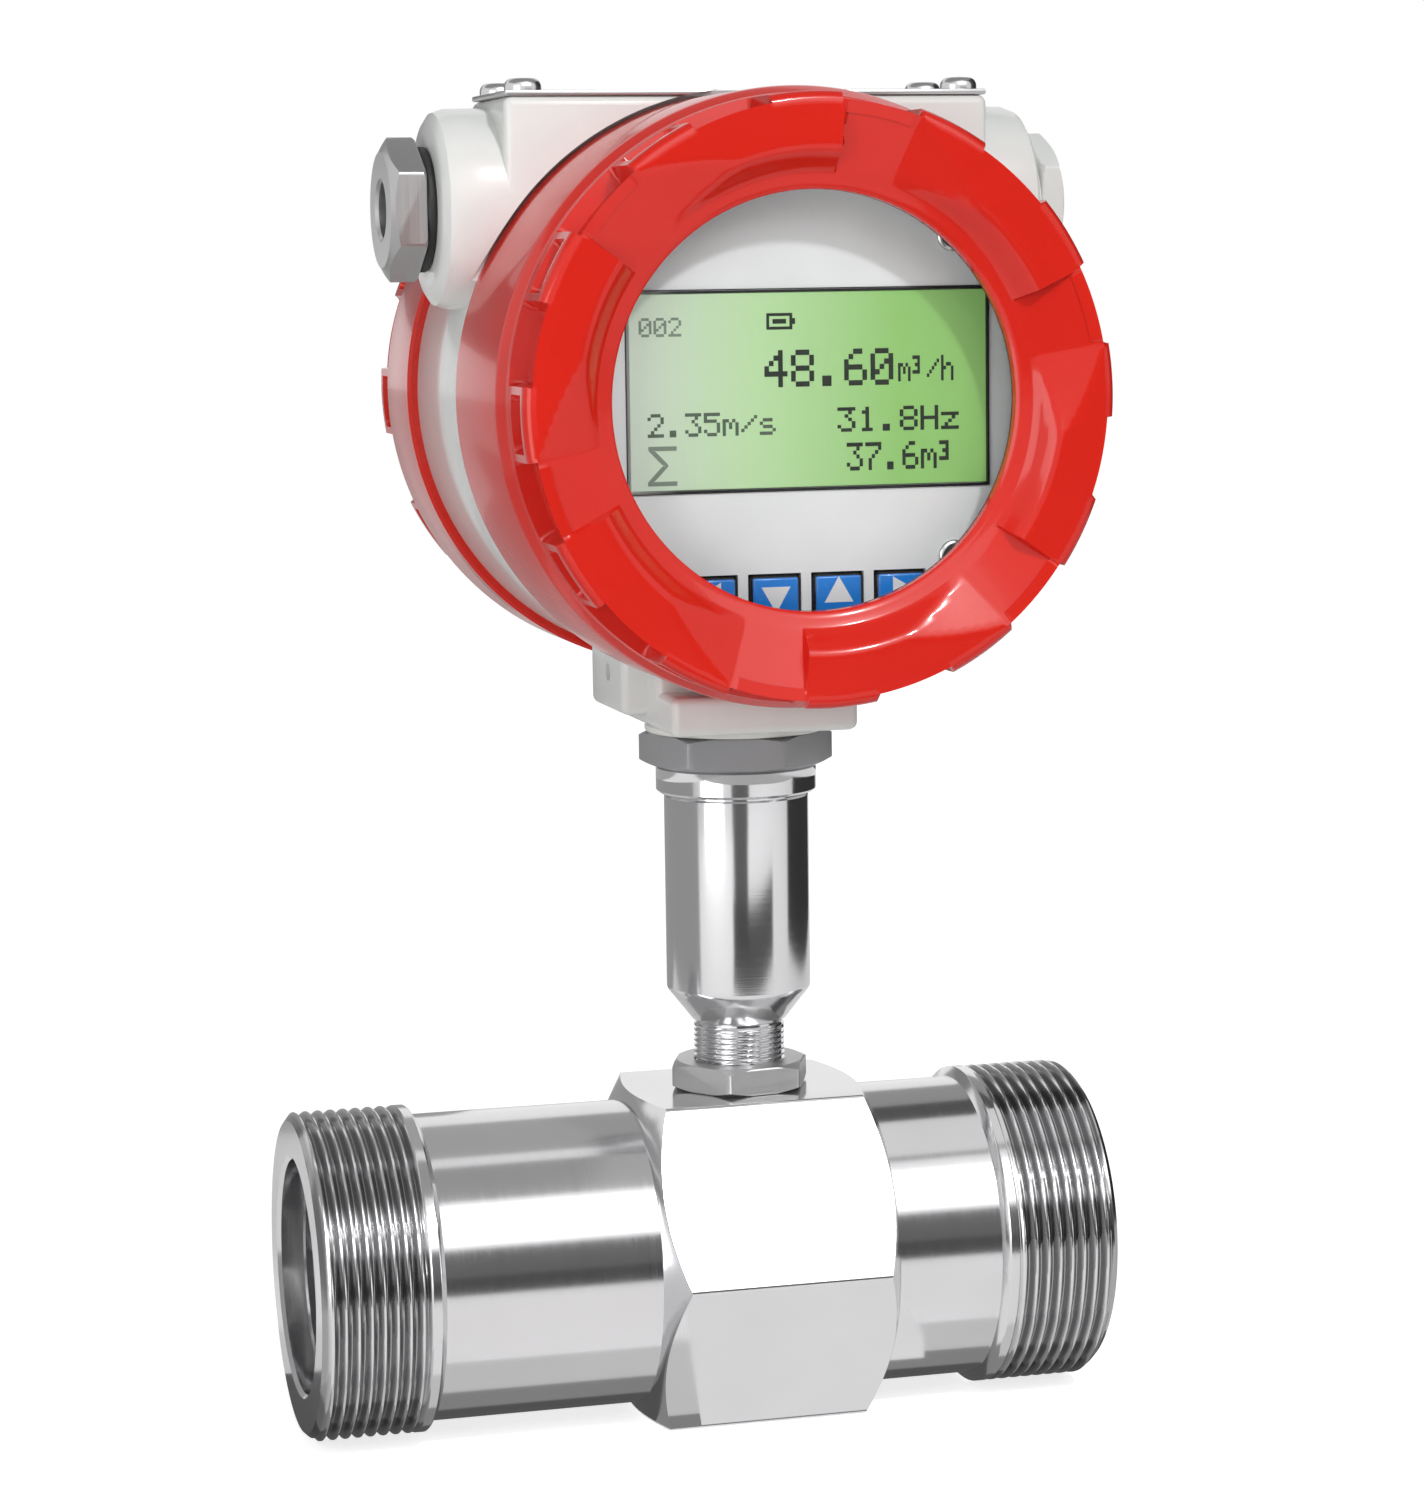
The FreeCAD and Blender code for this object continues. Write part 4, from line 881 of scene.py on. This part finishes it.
def pad_depth(angle, radius):
    """How far the dished face lies below the pad tops, by angle in degrees and radius."""
    dish = PAD_DEPTH * (1 - ease(radius, PAD_INNER, PAD_OUTER))
    turn = (10.0 - angle) % 60.0
    if turn > 45.0:
        return dish
    wall = PAD_DEPTH * (1 - ease(radius, PAD_INNER, PAD_INNER + 3.6))
    distance = math.radians(turn) * radius
    ramp = dish - 0.175 * distance
    return max(wall, min(ramp, dish), 0.0)


def tab_depth(angle):
    """How far the rim lies inside the grip tabs, by angle in degrees."""
    turn = (angle - 18.0 + 15.0) % 30.0 - 15.0
    return 3.0 * (1 - ease(abs(turn), 7.2, 7.9))


def pocket_depth(angle, along):
    """The slot cut in each grip tab, by angle and distance behind the face."""
    turn = (angle - 3.0 + 15.0) % 30.0 - 15.0
    across = 1 - ease(abs(turn), 4.6, 5.2)
    lengthways = ease(along, 3.0, 3.6) * (1 - ease(along, 9.6, 10.2))
    return 2.6 * across * lengthways


def shape_cover(piece, face, direction):
    """Press the pads, the grip tabs and their slots into a turned cover."""
    for vertex in piece.data.vertices:
        place = vertex.co / MM
        up = place.z - HEAD_Z
        radius = math.hypot(place.x, up)
        along = (place.y - face) * direction
        angle = math.degrees(math.atan2(up, place.x))
        if along < 4.3 and PAD_INNER <= radius <= PAD_OUTER + 0.01 and along > -0.2:
            dish = PAD_DEPTH * (1 - ease(radius, PAD_INNER, PAD_OUTER))
            if abs(along - dish) < 0.2:
                place.y = face + direction * pad_depth(angle, radius)
        elif radius > 50.0 and along < 13.0:
            sink = tab_depth(angle) * (1 - ease(along, 11.6, 12.2)) + pocket_depth(angle, along)
            scale = (radius - sink) / radius
            place.x *= scale
            place.z = HEAD_Z + up * scale
        vertex.co = place * MM


def cover_outline(face, mouth, skirt, step, rim):
    """The outline of a cover from its inner rim over the pads and skirt to its thread."""
    direction = 1 if mouth > face else -1
    points = list(rim)
    count = 12
    for i in range(count + 1):
        radius = PAD_INNER + (PAD_OUTER - PAD_INNER) * i / count
        points.append((face + direction * PAD_DEPTH * (1 - i / count), radius))
    points += [(face + direction * 0.5, PAD_OUTER + 0.9), (face + direction * 1.4, LUG_RADIUS)]
    for along in (2.2, 2.6, 3.0, 3.3, 3.6, 4.2, 6.0, 8.0, 9.2, 9.6, 9.9, 10.2, 10.8, 11.4, 11.6,
                  11.9, 12.2, 12.8):
        points.append((face + direction * along, LUG_RADIUS))
    points += [(face + direction * 13.8, LUG_RADIUS + step), (face + direction * 15.4, skirt - 0.2),
               (face + direction * 16.4, skirt)]
    for back, radius in ((0.6, skirt), (0.0, skirt - 0.6), (0.0, 50.9), (2.8, 50.9), (2.8, 48.55),
                         (14, 48.55), (14, 45.8)):
        points.append((mouth - direction * back, radius))
    return points


class FLOW_OT_covers(Operator):
    """The two screw covers, with pads, grip tabs and slots"""
    bl_idname = "flow_meter.covers"
    bl_label = "Covers"

    def execute(self, context):
        low, high = box_of("front_cover")
        face, window = low.y, 35.6
        rim = [(face + 7.0, window), (face + 5.3, window), (face + 4.9, window + 0.4),
               (face + 4.6, window + 1.3), (face + 4.2, PAD_INNER - 0.4)]
        points = cover_outline(face, high.y, high.x, 0.3, rim)
        points += [(face + 14.5, 45.8), (face + 14.5, 41.0), (face + 7.0, 41.0)]
        cover = lathe("front_cover_piece", points, "Y", HEAD_CENTRE, COVER_STEPS)
        shape_cover(cover, face, 1)
        settle(cover, "front_cover", "red", "red_enamel", "front_cover", angle=38)

        low, high = box_of("rear_cover")
        face = high.y
        back = [(face - 4.0, radius) for radius in (0.0, 12.0, 24.0, 34.0, PAD_INNER - 0.4)]
        points = cover_outline(face, low.y, high.x, 0.2, back)
        points += [(face - 8.0, 45.8), (face - 8.0, 0.0)]
        cover = lathe("rear_cover_piece", points, "Y", HEAD_CENTRE, COVER_STEPS, closed=False)
        shape_cover(cover, face, -1)
        settle(cover, "rear_cover", "red", "red_enamel", "rear_cover", angle=38)
        return {"FINISHED"}


class FLOW_OT_window(Operator):
    """The glass of the front cover"""
    bl_idname = "flow_meter.window"
    bl_label = "Window"

    def execute(self, context):
        low, high = box_of("window_glass")
        radius = high.x
        glass = lathe("window_glass_piece", [
            (low.y, 0.0), (low.y, radius - 0.4), (low.y + 0.4, radius), (high.y - 0.4, radius),
            (high.y, radius - 0.4), (high.y, 0.0)], "Y", HEAD_CENTRE, 128, closed=False)
        settle(glass, "front_cover", "glass", "window_glass", "window_glass")
        return {"FINISHED"}


# Rows of five dots for each sign, from the top, as in a plain character screen
DOTS = {
    "0": "0E11131519110E", "2": "0E11010204081F", "3": "1F02040201110E", "4": "02060A121F0202",
    "5": "1F101E0101110E", "6": "0608101E11110E", "7": "1F010204080808", "8": "0E11110E11110E",
    "1": "040C040404040E", ".": "00000000000C0C", "/": "00010204081000", "m": "00001A15151111",
    "h": "10101619111111", "s": "00000E100E011E", "H": "1111111F111111", "z": "00001F0204081F",
    "³": "1C040C041C0000",
}


def dot_text(name, text, height, width, place, front, finish):
    """Raised signs made of square dots, width apart, facing the viewer."""
    dot = height / 7
    across = width / 5.8
    runs = []
    for i, sign in enumerate(text):
        for row in range(7):
            bits = "{:05b}".format(int(DOTS[sign][2 * row:2 * row + 2], 16))
            for run in re.finditer("1+", bits):
                x = place[0] + i * width + run.start() * across
                z = place[1] + (6 - row) * dot
                runs.append(block(name, (x, front - 0.03, z),
                                  (x + (run.end() - run.start()) * across, front + 0.03, z + dot)))
    settle(join(runs, name), "head", finish, "screen_black")


def flat_sign(name, sign, height, place, front, finish):
    """A raised plain character on the screen, facing the viewer."""
    fresh()
    bpy.ops.object.text_add(location=(0, 0, 0), rotation=(math.pi / 2, 0, 0))
    piece = bpy.context.object
    piece.name = name
    piece.data.body = sign
    piece.data.size = height * MM * 1.4
    piece.data.extrude = 0.03 * MM
    bpy.ops.object.convert(target="MESH")
    piece = bpy.context.object
    bpy.ops.object.transform_apply(location=True, rotation=True, scale=True)
    piece.data.transform(Matrix.Translation(Vector((place[0], front, place[1])) * MM))
    settle(piece, "head", finish, "screen_black")


class FLOW_OT_display(Operator):
    """The faceplate, screen, figures, keys and screws behind the window"""
    bl_idname = "flow_meter.display"
    bl_label = "Display"

    def execute(self, context):
        low, high = box_of("display_faceplate")
        plate = lathe("faceplate_piece", [
            (low.y, 0.0), (low.y, high.x - 0.3), (low.y + 0.3, high.x), (high.y, high.x),
            (high.y, 0.0)], "Y", HEAD_CENTRE, 160, closed=False)
        screen_low, screen_high = box_of("screen_module")
        gap = 0.15
        opening = block("opening", (screen_low.x - gap, low.y - 1, screen_low.z - gap),
                        (screen_high.x + gap, high.y + 1, screen_high.z + gap))
        combine(plate, opening, "DIFFERENCE")
        for i in range(4):
            key_low, key_high = box_of("key_%d" % (i + 1))
            hole = block("key_hole", (key_low.x - 0.25, low.y - 1, key_low.z - 0.25),
                         (key_high.x + 0.25, high.y + 1, key_high.z + 0.25))
            combine(plate, hole, "DIFFERENCE")
        settle(plate, "head", "faceplate", "faceplate_white", "display_faceplate")

        case = block("screen_frame_piece", screen_low, screen_high)
        recess = block("recess", (screen_low.x + 0.5, screen_low.y - 1, screen_low.z + 0.5),
                       (screen_high.x - 0.5, screen_low.y + 0.5, screen_high.z - 0.5))
        combine(case, recess, "DIFFERENCE")
        bevel(case, 0.12, 2)
        settle(case, "head", "edge", "screen_black", "screen_module")
        face = bevel(block("screen_glass_piece",
                           (screen_low.x + 0.55, screen_low.y + 0.3, screen_low.z + 0.55),
                           (screen_high.x - 0.55, screen_low.y + 0.9, screen_high.z - 0.55)), 0.05, 1)
        settle(face, "head", "screen", "screen_black")
        self.figures(screen_low, screen_high)

        for i in range(4):
            self.key(i)
        low, high = box_of("display_screws")
        screws = []
        for x in (low.x + 2.7, high.x - 2.7):
            for z in (low.z + 2.7, high.z - 2.7):
                screws.append(pan_screw("display_screw", (x, z), low.y + 0.8, low.y, 2.7, "Y"))
        settle(join(screws, "display_screw_set"), "head", "screw", "dull_steel",
               "display_screws")
        return {"FINISHED"}

    def figures(self, low, high):
        """Plain figures and signs laid out like an instrument's screen."""
        front = low.y + 0.28
        left, top = low.x, high.z
        width, height = high.x - low.x, high.z - low.z
        for name, words, size, pitch, across, down, finish in (
                ("screen_count", "002", 3.2, 2.6, 0.035, 0.225, "faint"),
                ("screen_value", "48.60", 6.3, 4.75, 0.375, 0.485, "ink"),
                ("screen_unit", "m³/h", 4.4, 2.6, 0.745, 0.47, "ink"),
                ("screen_speed", "2.35m/s", 4.0, 3.3, 0.055, 0.72, "dim"),
                ("screen_rate", "31.8Hz", 4.2, 3.75, 0.575, 0.715, "ink"),
                ("screen_total", "37.6m³", 4.8, 3.35, 0.60, 0.91, "ink")):
            dot_text(name, words, size, pitch, (left + width * across, top - height * down),
                     front, finish)
        flat_sign("screen_sum", "Σ", 6.6, (left + width * 0.045, top - height * 0.96), front,
                  "faint")
        x, z = left + width * 0.382, top - height * 0.2
        shell = block("screen_battery", (x, front - 0.03, z), (x + 4.6, front + 0.02, z + 2.8))
        hole = block("hole", (x + 0.5, front - 1, z + 0.5), (x + 4.1, front + 1, z + 2.3))
        combine(shell, hole, "DIFFERENCE")
        bar = block("bar", (x + 1.1, front - 0.03, z + 1.0), (x + 3.5, front + 0.02, z + 1.8))
        tip = block("tip", (x + 4.6, front - 0.03, z + 0.9), (x + 5.1, front + 0.02, z + 1.9))
        settle(join([shell, bar, tip], "screen_battery"), "head", "ink", "screen_black")

    def key(self, i):
        """One blue key with a dark edge and a plain white arrow."""
        node = "key_%d" % (i + 1)
        low, high = box_of(node)
        cap = block(node + "_edge", (low.x, low.y + 0.25, low.z), high)
        bevel(cap, 0.9, 4)
        settle(cap, node, "frame", "key_blue", node)
        face = block(node + "_cap", (low.x + 0.45, low.y, low.z + 0.45),
                     (high.x - 0.45, low.y + 0.9, high.z - 0.45))
        bevel(face, 0.35, 3)
        settle(face, node, "key", "key_blue")
        fresh()
        middle = Vector(((low.x + high.x) / 2, low.y - 0.02, (low.z + high.z) / 2))
        turn = (270, 180, 0, 90)[i]
        bpy.ops.mesh.primitive_cylinder_add(vertices=3, radius=3.0 * MM, depth=0.06 * MM,
                                            location=middle * MM, rotation=(math.pi / 2, 0, 0))
        arrow = bpy.context.object
        arrow.name = node + "_arrow"
        bpy.ops.object.transform_apply(location=True, rotation=True, scale=True)
        turn_about(arrow, middle * MM, math.radians(turn), "Y")
        settle(arrow, node, "arrow", "key_blue")


def card(name, corner, across, up, level):
    """A flat card that only reflections see, from a corner and two sides in metres."""
    fresh()
    corner, across, up = Vector(corner), Vector(across), Vector(up)
    bpy.ops.mesh.primitive_plane_add(size=1)
    piece = bpy.context.object
    piece.name = name
    normal = across.cross(up).normalized()
    turn = Matrix((across, up, normal)).transposed().to_4x4()
    piece.matrix_world = Matrix.Translation(corner + (across + up) / 2) @ turn
    material = bare_material(name)
    glow = add_node(material, "Emission", {"Strength": level})
    add_node(material, "OutputMaterial", {"Surface": glow.outputs["Emission"]})
    piece.data.materials.append(material)
    piece.visible_camera = False
    piece.visible_diffuse = False
    piece.visible_shadow = False
    piece.visible_transmission = False


def lamp(name, place, aim, width, height, power):
    """A rectangular soft lamp, in metres and watts."""
    data = bpy.data.lights.new(name, "AREA")
    data.shape = "RECTANGLE"
    data.size = width
    data.size_y = height
    data.energy = power
    piece = bpy.data.objects.new(name, data)
    bpy.context.scene.collection.objects.link(piece)
    piece.location = place
    piece.rotation_euler = (Vector(aim) - Vector(place)).to_track_quat("-Z", "Y").to_euler()


class FLOW_OT_stage(Operator):
    """A pale floor, a pale surround, soft lamps and the cards that steel mirrors"""
    bl_idname = "flow_meter.stage"
    bl_label = "Stage"

    def execute(self, context):
        scene = context.scene
        scene.view_settings.view_transform = "Standard"
        fresh()
        bpy.ops.mesh.primitive_plane_add(size=12, location=(0, 0, -0.0002))
        floor = bpy.context.object
        floor.name = "floor"
        floor.data.materials.append(self.floor_material())
        self.surround(scene)
        lamp("key_lamp", (0.15, -0.75, 0.70), (0.05, 0, 0.05), 0.9, 0.5, 2.3)
        lamp("left_lamp", (-0.46, -0.38, 0.2), (0, 0, 0.14), 0.33, 0.42, 1.25)
        lamp("bezel_lamp", (0.28, -1.2, 1.22), (0, 0, 0.18), 0.1, 0.1, 9.5)
        card("front_card", (-0.24, -0.6, 0.0), (0.27, 0, 0), (0, 0, 0.14), 0.14)
        for near in range(4):
            y = -0.6 + 0.1 * near
            card("floor_card", (0.37 * (y + 0.05), y, 0.0006), (-0.4 * (y + 0.05), 0, 0),
                 (0, 0.1, 0), 0.14)
        card("face_card", (-0.02, -0.6, 0.06), (0.52, 0, 0), (0, 0, 0.24), 0.15)
        card("low_card", (-0.08, -0.2, 0.001), (0.26, 0, 0), (0, 0, 0.044), 0.08)
        card("right_card", (0.3, -0.1, 0.0), (0, 0.5, 0), (0, 0, 0.5), 0.04)
        card("left_card", (-0.22, 0.6, 0.0), (0, -0.65, 0), (0, 0, 0.115), 0.36)
        card("behind_card", (-0.22, 0.25, 0.0), (0.22, 0, 0), (0, 0, 0.115), 0.36)
        card("back_card", (-0.6, 0.85, 0.25), (0.62, 0, 0), (0, 0, 0.37), 0.25)
        card("top_card", (-0.8, -0.35, 0.8), (1.6, 0, 0), (0, 0.9, 0), 0.35)
        for name, left, right, near, far, level in (
                ("left_front_shade", -0.2, -0.014, -0.06, -0.014, 0.38),
                ("left_streak", -0.2, -0.014, -0.014, -0.002, 0.95),
                ("left_rear_shade", -0.2, -0.014, -0.002, 0.08, 0.45),
                ("right_front_shade", 0.014, 0.2, -0.045, 0.002, 0.85),
                ("right_dark_shade", 0.014, 0.2, 0.002, 0.03, 0.1),
                ("right_rear_shade", 0.014, 0.2, 0.03, 0.1, 0.35)):
            card(name, (left, near, 0.118), (right - left, 0, 0), (0, far - near, 0), level)
        card("hex_contact", (-0.013, -0.047, 0.0007), (0.045, 0, 0), (0, 0.03, 0), 0.92)
        card("front_gap_shade", (-0.014, -0.06, 0.1181), (0.028, 0, 0), (0, 0.0455, 0), 0.5)
        card("rear_gap_shade", (-0.014, 0.0145, 0.1181), (0.028, 0, 0), (0, 0.0655, 0), 0.4)
        # Painted shade: dark cards on the floor under the tube, seen only in reflections, stand in
        # for the shade beneath it, darkest straight under and behind the tube.
        for name, near, far, level in (("contact_shade_front", -0.034, -0.02, 0.68),
                                       ("contact_shade_middle", -0.02, -0.012, 0.28),
                                       ("contact_shade_rear", -0.012, 0.04, 0.1)):
            card(name, (-0.1, near, 0.0004), (0.18, 0, 0), (0, far - near, 0), level)
        return {"FINISHED"}

    def floor_material(self):
        """Pale paper that looks white to the camera away from shadows."""
        material = new_material("pale_paper", (0.8, 0.8, 0.8), roughness=0.7)
        path = add_node(material, "LightPath", {}).outputs
        seen = calculate(material, "MULTIPLY", path["Is Camera Ray"], 0.75)
        mirrored = add_node(material, "Math", {0: path["Is Glossy Ray"], 1: 0.28, 2: seen},
                            operation="MULTIPLY_ADD")
        feed(material, {"Specular IOR Level": 0.1, "Emission Color": (1, 1, 1, 1),
                        "Emission Strength": mirrored.outputs["Value"]})
        return material

    def surround(self, scene):
        """White to the camera, to glass and to metal, and plain light for the rest."""
        world = bpy.data.worlds.new("surround")
        scene.world = world
        world.use_nodes = True
        path = add_node(world, "LightPath", {}).outputs
        seen = calculate(world, "MAXIMUM", path["Is Camera Ray"], path["Is Glossy Ray"])
        seen = calculate(world, "MAXIMUM", seen, path["Is Transmission Ray"])
        level = add_node(world, "MapRange", {"Value": seen, "To Min": 0.3, "To Max": 1.0})
        feed(world, {"Color": (1, 1, 1, 1), "Strength": level.outputs["Result"]},
             world.node_tree.nodes["Background"])


class FLOW_PT_panel(Panel):
    """The build steps of the flow meter"""
    bl_idname = "FLOW_PT_panel"
    bl_label = "Flow meter"
    bl_space_type = "VIEW_3D"
    bl_region_type = "UI"
    bl_category = "Flow meter"

    def draw(self, context):
        for step in STEPS:
            self.layout.operator(step.bl_idname)
        for group in (context.scene.flow_camera, context.scene.flow_tube,
                      context.scene.flow_finishes):
            column = self.layout.column()
            for name in group.bl_rna.properties.keys():
                if name not in ("rna_type", "name"):
                    column.prop(group, name)


GROUPS = (CameraSizes, TubeSizes, Finishes)
STEPS = (FLOW_OT_camera, FLOW_OT_materials, FLOW_OT_tube, FLOW_OT_neck, FLOW_OT_housing,
         FLOW_OT_plate, FLOW_OT_entries, FLOW_OT_covers, FLOW_OT_window, FLOW_OT_display,
         FLOW_OT_stage)


def register():
    """Make the sizes, steps and panel known."""
    for item in GROUPS + STEPS + (FLOW_PT_panel,):
        bpy.utils.register_class(item)
    bpy.types.Scene.flow_camera = PointerProperty(type=CameraSizes)
    bpy.types.Scene.flow_tube = PointerProperty(type=TubeSizes)
    bpy.types.Scene.flow_finishes = PointerProperty(type=Finishes)


def unregister():
    """Forget the sizes, steps and panel."""
    del bpy.types.Scene.flow_camera
    del bpy.types.Scene.flow_tube
    del bpy.types.Scene.flow_finishes
    for item in reversed(GROUPS + STEPS + (FLOW_PT_panel,)):
        bpy.utils.unregister_class(item)


def main():
    """Build every piece in order."""
    register()
    for step in STEPS:
        group, name = step.bl_idname.split(".")
        getattr(getattr(bpy.ops, group), name)()
    fresh()


if __name__ == "__main__":
    main()
